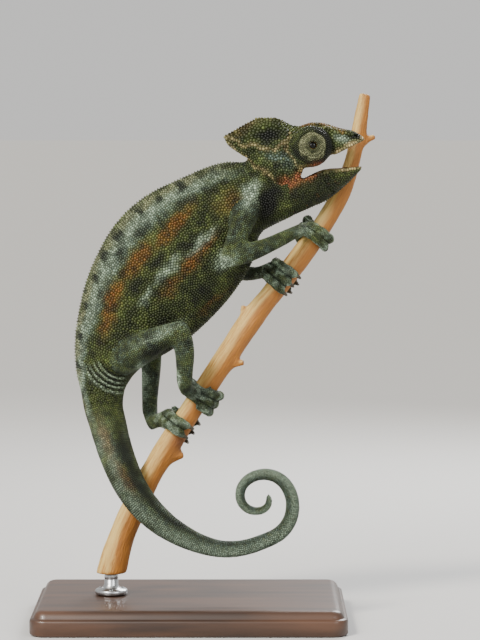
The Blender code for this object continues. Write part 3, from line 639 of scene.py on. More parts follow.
@dataclass(frozen=True)
class Fold:
    """A ridge, or with a negative height a groove, that runs along both sides of the body."""

    line: tuple[tuple[float, float], ...]  # x, z
    width: float
    height: float
    zones: tuple[Zone, ...]
    fade: float = 0.15  # share of the length over which each end dies out


@dataclass(frozen=True)
class Hollow:
    """A swelling, or with a negative height a hollow, on both sides of the body."""

    centre: Point  # x, distance from the middle, z
    size: Point  # half sizes along, across and up
    lean: float  # degrees that its length rises towards the snout
    height: float
    zones: tuple[Zone, ...]

    def fill(self, points: np.ndarray) -> np.ndarray:
        """How much of the form each point takes, from 0 outside to 1 in the middle."""
        turn = math.radians(self.lean)
        x = points[:, 0] - self.centre[0]
        y = np.abs(points[:, 1]) - self.centre[1]
        z = points[:, 2] - self.centre[2]
        along = (x * math.cos(turn) + z * math.sin(turn)) / self.size[0]
        up = (z * math.cos(turn) - x * math.sin(turn)) / self.size[2]
        return np.exp(-((along**2 + up**2 + (y / self.size[1]) ** 2) ** 1.4))


def groin_arc(reach: float) -> tuple[tuple[float, float], ...]:
    """A fold's line round the back of the thigh, at a distance from the hip."""
    turns = [math.radians(a) for a in range(196, 290, 12)]
    return tuple((-23.4 + reach * math.cos(t), 98.0 + reach * math.sin(t)) for t in turns)


GROIN_GROOVES = (9.2, 11.0, 12.8, 14.6)
SKULL = (Zone.HEAD,)
FACE = (Zone.HEAD, Zone.JAW)
FLANK = (Zone.TRUNK, Zone.TAIL, Zone.LIMB)
FOLDS: tuple[Fold, ...] = (
    # side crest, from the casque's point under the temple to the back of the eye
    Fold(((12.6, 174.4), (16.2, 173.6), (21.0, 171.2), (26.0, 170.2), (31.0, 170.6), (34.6, 172.4)), 0.85, 0.62, SKULL, 0.06),
    # rim over the temple
    Fold(((19.0, 175.4), (22.4, 177.4), (27.6, 178.9), (32.0, 178.2), (35.4, 175.8)), 0.8, 0.42, SKULL),
    # brow and the ridge down to the nostril
    Fold(((36.8, 176.6), (41.0, 178.3), (46.0, 178.9), (51.0, 177.6), (56.0, 176.2), (60.4, 175.2)), 0.8, 0.5, SKULL, 0.1),
    # back edge of the skull, and the crease where the neck slips under it
    Fold(((12.4, 173.0), (15.4, 169.2), (21.2, 165.6), (26.0, 162.0), (31.0, 158.9)), 0.8, 0.5, SKULL, 0.08),
    Fold(((13.6, 169.6), (18.4, 165.4), (24.6, 160.6), (30.6, 156.4), (36.0, 155.6)), 0.75, -0.6, (Zone.NECK, Zone.TRUNK, Zone.JAW), 0.1),
    # upper lip and lower lip, each a low roll with a crease behind it
    Fold(((43.6, 164.4), (47.4, 166.6), (51.6, 168.2), (56.0, 170.7), (61.6, 173.6)), 0.55, 0.26, SKULL, 0.08),
    Fold(((42.6, 166.2), (47.0, 168.2), (51.4, 169.8), (55.8, 172.2), (60.8, 174.6)), 0.45, -0.3, SKULL, 0.1),
    Fold(((44.0, 160.4), (48.6, 162.2), (53.8, 162.7), (58.6, 163.2), (61.6, 163.7)), 0.6, 0.24, (Zone.JAW,), 0.08),
    Fold(((43.0, 158.6), (48.4, 160.4), (53.6, 161.2), (58.6, 161.9)), 0.5, -0.28, (Zone.JAW,), 0.12),
    # folds of the throat
    Fold(((30.4, 149.4), (37.0, 151.2), (44.0, 153.6), (51.0, 156.4)), 0.5, -0.22, (Zone.JAW, Zone.NECK)),
    Fold(((29.4, 146.4), (36.0, 148.2), (43.0, 150.8)), 0.5, -0.2, (Zone.JAW, Zone.NECK)),
    # folds of the groin between thigh and vent
    *(Fold(groin_arc(reach), 0.5, -0.5, FLANK, 0.2) for reach in GROIN_GROOVES),
    # folds of the neck
    Fold(((24.8, 158.6), (26.4, 152.0), (27.0, 146.0)), 0.6, -0.35, (Zone.NECK, Zone.TRUNK)),
    Fold(((21.6, 160.4), (23.4, 155.0), (24.2, 149.6)), 0.55, -0.22, (Zone.TRUNK,)),
)
HOLLOWS: tuple[Hollow, ...] = (
    Hollow((28.0, 7.6, 174.8), (6.8, 9.0, 2.7), 2.0, -0.9, SKULL),  # temple
    Hollow((27.0, 9.6, 165.6), (7.0, 9.0, 3.6), -28.0, 0.5, SKULL),  # jaw muscle
    Hollow((54.6, 4.6, 174.2), (4.0, 9.0, 1.7), -16.0, -0.42, SKULL),  # between eye and nostril
    Hollow((59.4, 3.0, 174.9), (0.7, 3.0, 0.55), -20.0, -1.0, SKULL),  # nostril
    Hollow((59.2, 3.0, 175.4), (1.5, 3.0, 1.1), -20.0, 0.3, SKULL),  # swelling round the nostril
    Hollow((38.4, 8.2, 162.2), (3.4, 9.0, 1.6), 40.0, -0.4, FACE),  # soft corner of the mouth
)


# ---------------------------------------------------------------- the skin


@dataclass
class Hide:
    """The one skin over all the animal's flesh, with its folds."""

    nodes: dict[str, bpy.types.Object]
    voxel: float = 0.42
    swell: float = 0.34  # closes the cuts between the solids
    coat_depth: float = 0.3  # room left below the solids' faces for the scales
    hard_edge: float = 60.0  # degrees; sharper edges of the solids are cuts, and stay
    triangles: int = 190000
    surface: Surface = field(init=False)
    parts: np.ndarray = field(init=False)
    map: NodeMap = field(init=False)

    def build(self) -> bpy.types.Object:
        """Makes the skin.

        Returns:
            The skin's object, with its attributes still to be written.
        """
        self.map = NodeMap(self.nodes, list(FLESH))
        obj = self.fused_copy()
        self.surface = Surface(obj.data)
        self.parts = self.map.nearest(self.surface.points)
        self.soften()
        self.sculpt()
        self.surface.write(obj.data)
        thin = obj.modifiers.new("Thin", "DECIMATE")
        thin.ratio = min(1.0, self.triangles / len(self.surface.faces))
        thin.use_collapse_triangulate = True
        apply_modifiers(obj)
        obj.data.shade_smooth()
        self.surface = Surface(obj.data)
        self.parts = self.map.nearest(self.surface.points)
        return obj

    def fused_copy(self) -> bpy.types.Object:
        """Copies the flesh solids, rounds their facets, swells them and makes them one."""
        bm = bmesh.new()
        for grip in GRIPS:
            limb = LIMBS[WRISTS[grip.name]]
            stations = [tuple(curve_at(limb, 0.7 + 0.1 * k)) for k in range(4)]
            grip.add_flesh(bm, stations)
        bmesh.ops.scale(bm, vec=(MM, MM, MM), verts=bm.verts)
        for name in FLESH:
            if FLESH[name] is not Zone.FOOT:
                bm.from_mesh(self.nodes[name].data)
        bmesh.ops.remove_doubles(bm, verts=bm.verts, dist=1e-7)
        crease = bm.edges.layers.float.new("crease_edge")
        for edge in bm.edges:
            if edge.is_manifold and math.degrees(edge.calc_face_angle()) > self.hard_edge:
                edge[crease] = 1.0
        mesh = bpy.data.meshes.new("chameleon_skin")
        bm.to_mesh(mesh)
        bm.free()
        obj = mesh_object("chameleon_skin", mesh)
        rounded = obj.modifiers.new("Round", "SUBSURF")
        rounded.levels = rounded.render_levels = 1
        swollen = obj.modifiers.new("Swell", "DISPLACE")
        swollen.strength = self.swell * MM
        swollen.mid_level = 0.0
        whole = obj.modifiers.new("Fuse", "REMESH")
        whole.mode = "VOXEL"
        whole.voxel_size = self.voxel * MM
        apply_modifiers(obj)
        return obj

    def zone_weights(self, table: dict[Zone, float]) -> np.ndarray:
        """One number for each corner, by the zone it lies in, blurred at the borders."""
        by_node = np.array([table[FLESH[name]] for name in self.map.names])
        weight = by_node[self.parts][:, None]
        for _ in range(8):
            weight = self.surface.averaged(weight)
        return weight[:, 0]

    def soften(self) -> None:
        """Irons out the facets, more on the broad trunk than on the small toes."""
        weight = self.zone_weights(
            {
                Zone.HEAD: 0.3,
                Zone.JAW: 0.3,
                Zone.TURRET: 0.25,
                Zone.NECK: 1.0,
                Zone.TRUNK: 1.0,
                Zone.LIMB: 0.6,
                Zone.FOOT: 0.12,
                Zone.TAIL: 0.5,
            }
        )
        for limb in WRISTS.values():
            heel = np.linalg.norm(self.surface.points - np.array(LIMBS[limb][-1][:3]), axis=1)
            weight = np.maximum(weight, 0.9 * smooth_step(5.5, 3.0, heel))
        self.surface.relax(50, weight, keep=0.0)
        self.surface.move(-(self.swell + self.coat_depth) + 0.12 * weight)

    def sculpt(self) -> None:
        """Raises the ridges and sinks the folds of the head, the groin and the feet."""
        points = self.surface.points
        normals = self.surface.normals()
        zone = np.array([FLESH[name].value for name in self.map.names])[self.parts]
        sideways = smooth_step(0.12, 0.5, np.abs(normals[:, 1]))
        shift = np.zeros(len(points))
        flat = points * (1, 0, 1)
        for fold in FOLDS:
            here = np.isin(zone, [z.value for z in fold.zones])
            gap, share = near_line(flat[here], [(x, 0.0, z) for x, z in fold.line])
            ends = smooth_step(0.0, fold.fade, share) * smooth_step(0.0, fold.fade, 1 - share)
            shift[here] += fold.height * np.exp(-((gap / fold.width) ** 2)) * ends * sideways[here]
        for hollow in HOLLOWS:
            here = np.isin(zone, [z.value for z in hollow.zones])
            shift[here] += hollow.height * hollow.fill(points[here]) * sideways[here]
        for side in Side:
            shift += self.lid_folds(points, side)
        for grip in GRIPS:
            shift -= 0.62 * grip.grooves(points)
        shift += self.ribs(points, zone) * sideways
        self.surface.points += normals * shift[:, None]

    def lid_folds(self, points: np.ndarray, side: Side) -> np.ndarray:
        """The ringed folds of a fused lid, and the trench round the turret's foot."""
        base, axis = eye_frame(side)
        local = points - base
        out = local @ axis
        gap = np.linalg.norm(local - out[:, None] * axis, axis=1)
        near = (out > -1.5) & (out < 10) & (gap < 11)
        rings = 0.13 * np.cos(math.tau * (gap - 1.9) / 1.25) * smooth_step(1.2, 1.9, gap) * smooth_step(7.4, 5.6, gap)
        rim = 0.28 * np.exp(-(((gap - 1.75) / 0.42) ** 2)) * smooth_step(5.0, 7.0, out)
        lip = -0.34 * np.exp(-(((gap - 5.0) / 0.42) ** 2)) * smooth_step(3.0, 4.6, out)
        foot = -0.7 * np.exp(-(((gap - 8.4) / 0.75) ** 2)) * smooth_step(4.6, 2.6, out)
        return np.where(near, rings + rim + lip + foot, 0.0)

    def ribs(self, points: np.ndarray, zone: np.ndarray) -> np.ndarray:
        """The faint swell of the ribs under the flank's skin."""
        trunk = zone == Zone.TRUNK.value
        found = np.zeros(len(points))
        line = [tuple(row[:3]) for row in BACKBONE]
        _, share = near_line(points[trunk] * (1, 0, 1), line)
        found[trunk] = 0.13 * np.cos(math.tau * share * 17) * smooth_step(0.2, 0.3, share) * smooth_step(0.9, 0.75, share)
        return found

    def lining(self, places: np.ndarray, normals: np.ndarray, parts: np.ndarray, tree: BVHTree) -> np.ndarray:
        """1 where skin of the head or jaw faces the other jaw, which makes it the mouth's lining."""
        zone = np.array([FLESH[name].value for name in self.map.names])[parts]
        found = np.zeros(len(places))
        inward = normals[:, 1] * np.sign(places[:, 1]) < -0.1
        found[(zone == Zone.TURRET.value) & inward & (places[:, 2] < 169.0) & (normals[:, 2] < 0.3)] = 1.0
        mouth = np.isin(zone, (Zone.HEAD.value, Zone.JAW.value)) & (places[:, 0] > 37.0) & (places[:, 2] < 174.5)
        mouth &= places[:, 2] > 156.0
        for k in np.flatnonzero(mouth):
            face = tree.ray_cast(places[k] + normals[k] * 0.2, normals[k], 16.0)[2]
            if face is not None:
                opposite = FLESH[self.map.names[self.parts[self.surface.faces[face][0]]]]
                found[k] = float(opposite in FACE)
        return found


# ---------------------------------------------------------------- the marks


@dataclass(frozen=True)
class Spot:
    """A soft-edged mark on both flanks; some of them paint highlights and shade."""

    place: tuple[float, float]  # x, z
    size: tuple[float, float]  # half length and half width
    lean: float  # degrees that its length rises towards the snout
    strength: float = 1.0

    def fill(self, x: np.ndarray, z: np.ndarray) -> np.ndarray:
        """How much of the mark each place takes, from 0 to its strength."""
        turn = math.radians(self.lean)
        dx, dz = x - self.place[0], z - self.place[1]
        along = (dx * math.cos(turn) + dz * math.sin(turn)) / self.size[0]
        across = (dz * math.cos(turn) - dx * math.sin(turn)) / self.size[1]
        return self.strength * np.exp(-((along**2 + across**2) ** 1.3))


RUST_SPOTS: tuple[Spot, ...] = (
    Spot((-4.6, 144.2), (7.4, 2.5), 46.0),
    Spot((-9.8, 138.2), (4.4, 2.3), 48.0, 0.8),
    Spot((-18.8, 130.4), (7.4, 2.7), 56.0, 0.95),
    Spot((-26.6, 118.4), (6.4, 2.9), 64.0),
    Spot((-29.4, 109.6), (6.6, 2.4), 76.0, 0.9),
    Spot((5.6, 135.4), (6.2, 1.9), 50.0, 0.75),
    Spot((0.6, 129.6), (6.0, 2.2), 48.0, 0.95),
    Spot((-6.4, 121.2), (5.6, 1.9), 50.0, 0.6),
    Spot((14.0, 151.0), (5.6, 4.4), 30.0, 0.4),
    Spot((-30.4, 66.6), (7.6, 2.0), 110.0, 0.6),
    Spot((-23.0, 53.8), (7.0, 1.9), 126.0, 0.6),
    Spot((8.0, 115.4), (7.0, 1.2), 40.0, 0.5),
    Spot((19.0, 177.6), (4.6, 1.6), 26.0, 0.4),
)
# dark spots of the flanks and head, and painted shade on the neck, low on the flank, in the nostril and under the thigh
DUSK_SPOTS_AND_SHADE: tuple[Spot, ...] = (
    Spot((-1.2, 136.0), (2.6, 2.2), 40.0),
    Spot((-11.8, 129.6), (3.4, 2.2), 50.0),
    Spot((-24.6, 132.8), (3.2, 2.0), 58.0),
    Spot((-16.8, 141.4), (4.0, 2.0), 50.0, 0.9),
    Spot((-3.0, 150.6), (4.6, 1.7), 34.0, 0.8),
    Spot((8.6, 146.0), (2.4, 2.0), 40.0, 0.7),
    Spot((-19.0, 121.4), (3.4, 2.1), 56.0, 0.9),
    Spot((-20.6, 111.6), (3.6, 2.2), 62.0, 0.8),
    Spot((-31.6, 119.0), (2.6, 1.3), 70.0, 0.8),
    Spot((-10.0, 112.0), (6.6, 3.4), 44.0, 0.7),
    # painted shade low on the flank, below the arm
    Spot((6.0, 121.6), (8.0, 4.4), 46.0, 0.8),
    # painted shade on the neck under the back of the skull
    Spot((28.4, 151.4), (4.6, 8.8), -14.0, 1.3),
    Spot((28.0, 174.9), (5.8, 2.5), 4.0, 1.2),
    Spot((50.4, 170.6), (1.6, 3.0), 0.0, 0.9),
    # painted shade in the nostril's hollow
    Spot((59.4, 174.9), (0.9, 0.7), -20.0, 1.2),
    Spot((19.6, 177.0), (5.4, 2.2), 26.0, 0.55),
    # painted shade under the thigh
    Spot((-13.6, 98.2), (8.6, 2.0), 26.0, 1.0),
)
# pale marks of the flanks, and painted highlights on the thigh, shoulder, elbow, snout, shins, hands and feet
PALE_SPOTS_AND_HIGHLIGHTS: tuple[Spot, ...] = (
    # painted highlight along the top of the thigh
    Spot((-10.6, 104.8), (9.6, 1.4), 26.0, 0.38),
    Spot((4.2, 137.0), (6.4, 1.7), 48.0, 0.7),
    Spot((-7.6, 127.6), (6.6, 1.9), 50.0, 0.6),
    Spot((-15.6, 118.0), (4.0, 1.6), 54.0, 0.45),
    # painted highlight on the shoulder
    Spot((22.0, 154.4), (4.6, 2.6), 76.0, 1.0),
    # painted highlight on the elbow
    Spot((12.4, 130.6), (3.6, 2.8), 30.0, 1.0),
    # painted highlight on the snout
    Spot((55.0, 173.8), (3.2, 1.6), -14.0, 0.95),
    # painted highlights down the shins
    Spot((-3.6, 88.4), (3.4, 0.9), 90.0, 0.8),
    Spot((-17.2, 87.0), (7.0, 1.9), 92.0, 1.0),
    # painted highlights on the tops of the hands and the feet
    Spot((41.2, 141.4), (2.6, 1.2), 14.0, 0.75),
    Spot((48.4, 142.2), (1.9, 1.1), -20.0, 0.7),
    Spot((34.4, 127.2), (3.0, 1.2), 0.0, 0.7),
    Spot((4.6, 85.6), (3.2, 1.0), -24.0, 0.6),
    Spot((-5.6, 72.4), (2.6, 1.2), 30.0, 0.6),
)
SLATE_SPOTS: tuple[Spot, ...] = (
    Spot((17.4, 143.0), (6.4, 1.2), 66.0, 0.5),
    Spot((32.0, 167.0), (5.4, 2.6), -16.0, 0.75),
    Spot((-16.4, 92.0), (7.6, 1.7), 92.0, 0.85),
    Spot((16.2, 168.6), (6.4, 1.0), -40.0, 0.7),
)


@dataclass
class MarksAndShading:
    """Where each colour lies, the live animal's marks with painted highlights and painted shade among them, read the
    same for skin and scales.
    """

    names: list[str]

    def read(self, points: np.ndarray, parts: np.ndarray, lining: np.ndarray) -> tuple[np.ndarray, np.ndarray]:
        """Reads the marks at points on the body.

        Args:
            points: rows of x, y, z in millimetres.
            parts: the number of the solid each point belongs to.
            lining: 1 where the inside of the mouth shows.

        Returns:
            Two tables of four shares each: rust, pale with painted highlights, dusk with painted shade, slate; and
                warm, cream, ring with a painted highlight line, moss.
        """
        ragged = points.copy()
        for axis in (0, 2):
            ragged[:, axis] += 1.5 * noise_at(points, 4.2, 11.0 * axis + 3) + 0.8 * noise_at(points, 1.7, 5.0 * axis + 8)
        x, z = ragged[:, 0], ragged[:, 2]
        zone = np.array([FLESH[name].value for name in self.names])[parts]
        limb = np.isin(zone, (Zone.LIMB.value, Zone.FOOT.value))
        body = np.isin(zone, (Zone.TRUNK.value, Zone.TAIL.value, Zone.NECK.value))
        tables = [np.zeros(len(points)) for _ in range(8)]
        # pale holds the pale marks and painted highlights; dusk holds the dark marks and painted shade
        rust, pale, dusk, slate, warm, cream, ring, moss = tables
        for spots, table in ((RUST_SPOTS, rust), (DUSK_SPOTS_AND_SHADE, dusk), (PALE_SPOTS_AND_HIGHLIGHTS, pale), (SLATE_SPOTS, slate)):
            for spot in spots:
                np.maximum(table, spot.fill(x, z), out=table)
        rust *= ~limb
        self.back_stripe_and_shading(ragged, body, pale, dusk, slate, ring)
        self.groin_fold_highlight_and_shade(points, body, pale, dusk)
        self.tail_blotches_highlight_and_shade(points, zone, pale, slate, dusk)
        self.head_marks(ragged, zone, warm, cream, ring, dusk, rust)
        self.limb_marks_highlights_and_shade(points, ragged, limb, pale, slate, dusk)
        moss[:] = smooth_step(-0.25, 0.5, noise_at(points, 7.5, 40.0))
        speckle = 0.6 - 0.3 * (zone == Zone.TAIL.value)
        np.maximum(dusk, speckle * smooth_step(0.12, 0.5, noise_at(points, 2.8, 52.0)), out=dusk)
        warm[:] = np.maximum(warm, lining)
        for table in (rust, pale, dusk, slate, cream, ring):
            table *= 1 - lining
        return np.stack([rust, pale, dusk, slate], 1), np.stack([warm, cream, ring, moss], 1)

    def back_stripe_and_shading(
        self,
        points: np.ndarray,
        body: np.ndarray,
        pale: np.ndarray,
        dusk: np.ndarray,
        slate: np.ndarray,
        ring: np.ndarray,
    ) -> None:
        """The light stripe that follows the back, with a row of dark spots above it, a painted highlight line along the
        top and painted shade on the belly side.
        """
        line = [tuple(row[:3]) for row in BACKBONE] + [tuple(row[:3]) for row in TAIL[:3]]
        rows = np.array([row[:5] for row in BACKBONE] + [row[:5] for row in TAIL[:3]])
        flat = points * (1, 0, 1)
        gap, share = near_line(flat, [(x, 0.0, z) for x, _, z in line])
        spans = np.linalg.norm(np.diff(rows[:, [0, 2]], axis=0), axis=1)
        passed = np.concatenate([[0], np.cumsum(spans)]) / spans.sum()
        deep = np.interp(share, passed, rows[:, 3])
        centre = np.stack([np.interp(share, passed, rows[:, k]) for k in (0, 2)], 1)
        above = np.where((flat[:, 0] - centre[:, 0]) * -0.6 + (flat[:, 2] - centre[:, 1]) * 0.8 > 0, 1.0, -1.0)
        rise = above * gap / deep
        along = smooth_step(0.1, 0.24, share) * smooth_step(0.98, 0.8, share)
        stripe = np.exp(-(((rise - 0.77) / 0.13) ** 2)) * along * body
        np.maximum(pale, stripe * 0.6, out=pale)
        np.maximum(slate, np.exp(-(((rise - 0.66) / 0.1) ** 2)) * along * body * 0.55, out=slate)
        beat = smooth_step(0.15, 0.75, np.cos(math.tau * (share * 15.5 + 0.1)))
        spots = np.exp(-(((rise - 0.86) / 0.12) ** 2)) * beat * along * body
        np.maximum(dusk, spots, out=dusk)
        # painted highlight: a light line along the top of the back, in the lid's colour
        lit = np.exp(-(((rise - 0.91) / 0.07) ** 2)) * along * body * (1 - spots)
        np.maximum(ring, lit * 0.75, out=ring)
        edge = smooth_step(0.97, 1.04, rise) * body
        np.maximum(dusk, edge * 0.7, out=dusk)
        # painted shade: the lower flank and belly darker
        belly = smooth_step(-0.5, -0.95, rise) * body * smooth_step(0.05, 0.2, share)
        np.maximum(dusk, belly * 0.45, out=dusk)

    def groin_fold_highlight_and_shade(self, points: np.ndarray, body: np.ndarray, pale: np.ndarray, dusk: np.ndarray) -> None:
        """Painted highlights on the crests and painted shade in the creases of the groin's folds."""
        flat = points * (1, 0, 1)
        for reach in GROIN_GROOVES:
            # dusk paints shade into each crease, pale a highlight on the crest beside it
            for step, table, share in ((0.0, dusk, 0.9), (0.9, pale, 0.48)):
                line = [(x, 0.0, z) for x, z in groin_arc(reach + step)]
                gap, along = near_line(flat, line)
                ends = smooth_step(0.0, 0.15, along) * smooth_step(1.0, 0.8, along)
                np.maximum(table, share * np.exp(-((gap / 0.42) ** 2)) * ends * body, out=table)

    def tail_blotches_highlight_and_shade(
        self, points: np.ndarray, zone: np.ndarray, pale: np.ndarray, slate: np.ndarray, dusk: np.ndarray
    ) -> None:
        """Blue-grey blotches and dark bands along the tail, with a painted highlight on its outer curve and painted
        shade on its inner one.
        """
        tail = zone == Zone.TAIL.value
        here = points[tail]
        line = [tuple(row[:3]) for row in TAIL] + [s[:3] for s in curl_stations(40)[1:]]
        _, share = near_line(here, line)
        mottle = noise_at(here, 3.4, 21.0)
        start = smooth_step(0.0, 0.12, share)
        blue = smooth_step(-0.3, 0.35, mottle) * 0.35 + 0.6 * smooth_step(0.15, 0.5, share)
        np.maximum.at(slate, np.flatnonzero(tail), blue * start)
        rows = np.array(line)
        way = np.gradient(rows, axis=0)
        passed = np.concatenate([[0], np.cumsum(np.linalg.norm(np.diff(rows, axis=0), axis=1))])
        passed /= passed[-1]
        centre = np.stack([np.interp(share, passed, rows[:, k]) for k in (0, 2)], 1)
        ahead = np.stack([np.interp(share, passed, way[:, k]) for k in (0, 2)], 1)
        ahead /= np.linalg.norm(ahead, axis=1, keepdims=True)
        thick = np.interp(share, (0.0, 0.3, 0.55, 1.0), (7.0, 5.2, 3.0, 1.4))
        inner = ((here[:, 2] - centre[:, 1]) * ahead[:, 0] - (here[:, 0] - centre[:, 0]) * ahead[:, 1]) / thick
        inner += 0.18 * mottle
        sheet = np.flatnonzero(tail)
        width = 0.4 + 0.2 * smooth_step(0.2, 0.4, share)
        # painted highlight along the tail's outer curve
        light = np.exp(-(((inner + 0.38) / width) ** 2)) * (0.8 + 0.25 * mottle)
        np.maximum.at(pale, sheet, (0.55 + 0.4 * smooth_step(0.2, 0.45, share)) * light * start)
        # painted shade along the tail's inner curve and at its outer edge
        shade = np.exp(-(((inner - 0.56) / 0.36) ** 2)) + 0.7 * smooth_step(-0.85, -1.1, inner)
        np.maximum.at(dusk, sheet, (0.95 - 0.35 * smooth_step(0.3, 0.6, share)) * shade * start)
        bands = smooth_step(0.35, 0.9, np.cos(math.tau * share * 17) + 0.5 * mottle) * 0.3
        np.maximum.at(dusk, sheet, bands * start)

    def head_marks(
        self,
        points: np.ndarray,
        zone: np.ndarray,
        warm: np.ndarray,
        cream: np.ndarray,
        ring: np.ndarray,
        dusk: np.ndarray,
        rust: np.ndarray,
    ) -> None:
        """Lips, mouth corners, brow, crests and the ringed lids."""
        head = np.isin(zone, (Zone.HEAD.value, Zone.JAW.value, Zone.TURRET.value))
        skull = zone == Zone.HEAD.value
        jaw = zone == Zone.JAW.value
        flat = points * (1, 0, 1)

        def band(line: Sequence[tuple[float, float]], width: float, where: np.ndarray) -> np.ndarray:
            gap, _ = near_line(flat, [(a, 0.0, b) for a, b in line])
            return np.exp(-((gap / width) ** 2)) * where

        lip = band(((45.6, 166.3), (49.9, 167.8), (54.0, 169.8), (58.0, 171.8), (62.6, 174.0)), 0.85, skull)
        under = band(((45.6, 161.8), (50.0, 162.6), (56.0, 163.1), (61.6, 163.6)), 0.6, jaw)
        np.maximum(cream, np.maximum(lip, under * 0.75), out=cream)
        corner = band(((45.4, 163.6), (42.0, 161.2), (38.4, 159.6), (34.6, 158.6)), 2.0, head)
        np.maximum(warm, corner * 0.7, out=warm)
        brow = band(((40.0, 178.6), (45.5, 179.9), (50.0, 179.2), (55.0, 177.6)), 1.5, skull)
        np.maximum(rust, brow * 0.95, out=rust)
        crest = band(((14.0, 176.6), (20.0, 179.4), (27.0, 181.8), (33.0, 181.0)), 1.0, skull)
        np.maximum(cream, crest * 0.16, out=cream)
        side = band(((13.0, 174.4), (16.2, 173.8), (21.0, 171.4), (26.0, 170.4), (31.0, 170.8), (36.0, 173.4)), 0.7, skull)
        np.maximum(cream, side * 0.45, out=cream)
        nape = band(((12.4, 173.6), (15.4, 169.6), (21.2, 165.8), (26.0, 162.4), (30.4, 159.6)), 0.75, skull)
        np.maximum(cream, nape * 0.42, out=cream)
        dots = smooth_step(0.3, 0.55, noise_at(points, 1.3, 60.0)) * jaw * smooth_step(163, 158, points[:, 2])
        np.maximum(rust, dots * 0.7, out=rust)
        np.maximum(dusk, jaw * 0.5 * smooth_step(162.5, 160.0, points[:, 2]), out=dusk)
        for side_of in Side:
            base, axis = eye_frame(side_of)
            local = points - base
            out = local @ axis
            gap = np.linalg.norm(local - out[:, None] * axis, axis=1)
            lid = (out > 1.0) & (gap < 10.5) & head
            disc = smooth_step(5.3, 4.3, gap) * (1 - 0.75 * smooth_step(3.1, 1.9, gap + 0.5 * noise_at(local, 1.6, 31.0)))
            np.maximum(ring, np.where(lid, disc, 0.0), out=ring)
            ahead = smooth_step(-2.0, 5.0, local[:, 0])
            dark = smooth_step(4.5, 5.3, gap) * smooth_step(7.0 + 1.6 * ahead, 5.9 + 1.2 * ahead, gap)
            np.maximum(dusk, np.where(lid, dark * (0.7 + 0.3 * ahead), 0.0), out=dusk)
            rim = np.exp(-(((gap - 8.3) / 0.6) ** 2)) * (points[:, 2] < 176) * (points[:, 0] < 44)
            np.maximum(cream, np.where((out > -3) & head, rim * 0.35, 0.0), out=cream)
            inner = np.where(lid, smooth_step(3.0, 2.0, gap), 0.0)
            np.maximum(dusk, inner * 0.75, out=dusk)

    def limb_marks_highlights_and_shade(
        self,
        points: np.ndarray,
        ragged: np.ndarray,
        limb: np.ndarray,
        pale: np.ndarray,
        slate: np.ndarray,
        dusk: np.ndarray,
    ) -> None:
        """Legs mottled grey-green and dark, with painted highlights on the toes and painted shade in the clefts between
        them.
        """
        mottle = noise_at(points, 2.6, 70.0)
        slate[:] = np.maximum(slate, limb * (0.2 + 0.5 * smooth_step(-0.2, 0.6, mottle)) * 0.75)
        dusk[:] = np.maximum(dusk, limb * smooth_step(0.2, 0.5, noise_at(ragged, 3.6, 75.0)) * 0.6)
        for grip in GRIPS:
            groove = grip.grooves(points)
            near = smooth_step(13.0, 10.0, np.linalg.norm(points - np.array(grip.middle), axis=1))
            # painted highlight on the toes
            np.maximum(pale, limb * near * (1 - groove) * smooth_step(-0.4, 0.5, mottle) * 0.5, out=pale)
            # painted shade in the clefts between the toes
            np.maximum(dusk, 0.9 * limb * groove, out=dusk)


# ---------------------------------------------------------------- the scales

SPACING: dict[str, float] = {
    "head": 0.9,
    "lower_jaw": 0.78,
    "right_eye_turret": 0.62,
    "left_eye_turret": 0.62,
    "neck": 0.8,
    "trunk": 0.92,
    "right_upper_arm": 0.8,
    "left_upper_arm": 0.8,
    "right_forearm": 0.74,
    "left_forearm": 0.74,
    "right_hand": 0.58,
    "left_hand": 0.58,
    "right_thigh": 0.82,
    "left_thigh": 0.82,
    "right_shin": 0.74,
    "left_shin": 0.74,
    "right_foot": 0.58,
    "left_foot": 0.58,
    "tail_base": 0.84,
    "tail_mid": 0.8,
    "tail_sweep": 0.7,
    "tail_tip": 0.58,
}


UPPER_LIP: tuple[tuple[float, float], ...] = ((44.4, 165.0), (49.9, 167.2), (54.0, 169.2), (58.0, 171.2), (62.4, 173.6))
LOWER_LIP: tuple[tuple[float, float], ...] = ((44.4, 161.2), (50.0, 162.4), (56.0, 162.9), (61.8, 163.5))
NOSTRIL: Point = (59.4, 3.0, 174.9)


class Patchwork(Enum):
    """The coat's pieces, each with the solids that its scales stand on."""

    HEAD = ("head", "right_eye_turret", "left_eye_turret")
    THROAT = ("lower_jaw", "neck")
    FLANK_RIGHT = ("trunk",)
    FLANK_LEFT = ("trunk", "left")
    ARMS = ("right_upper_arm", "left_upper_arm", "right_forearm", "left_forearm", "right_hand", "left_hand")
    LEGS = ("right_thigh", "left_thigh", "right_shin", "left_shin", "right_foot", "left_foot")
    TAIL = ("tail_base", "tail_mid")
    TAIL_CURL = ("tail_sweep", "tail_tip")


@dataclass
class Beads:
    """The scales' places on the body and all that shapes them."""

    places: np.ndarray
    size: np.ndarray
    rise: np.ndarray  # height of each scale, in millimetres
    point: np.ndarray  # 0 for a flat bead, 1 for a cone
    parts: np.ndarray = field(default_factory=lambda: np.zeros(0, int))
    normals: np.ndarray = field(default_factory=lambda: np.zeros((0, 3)))


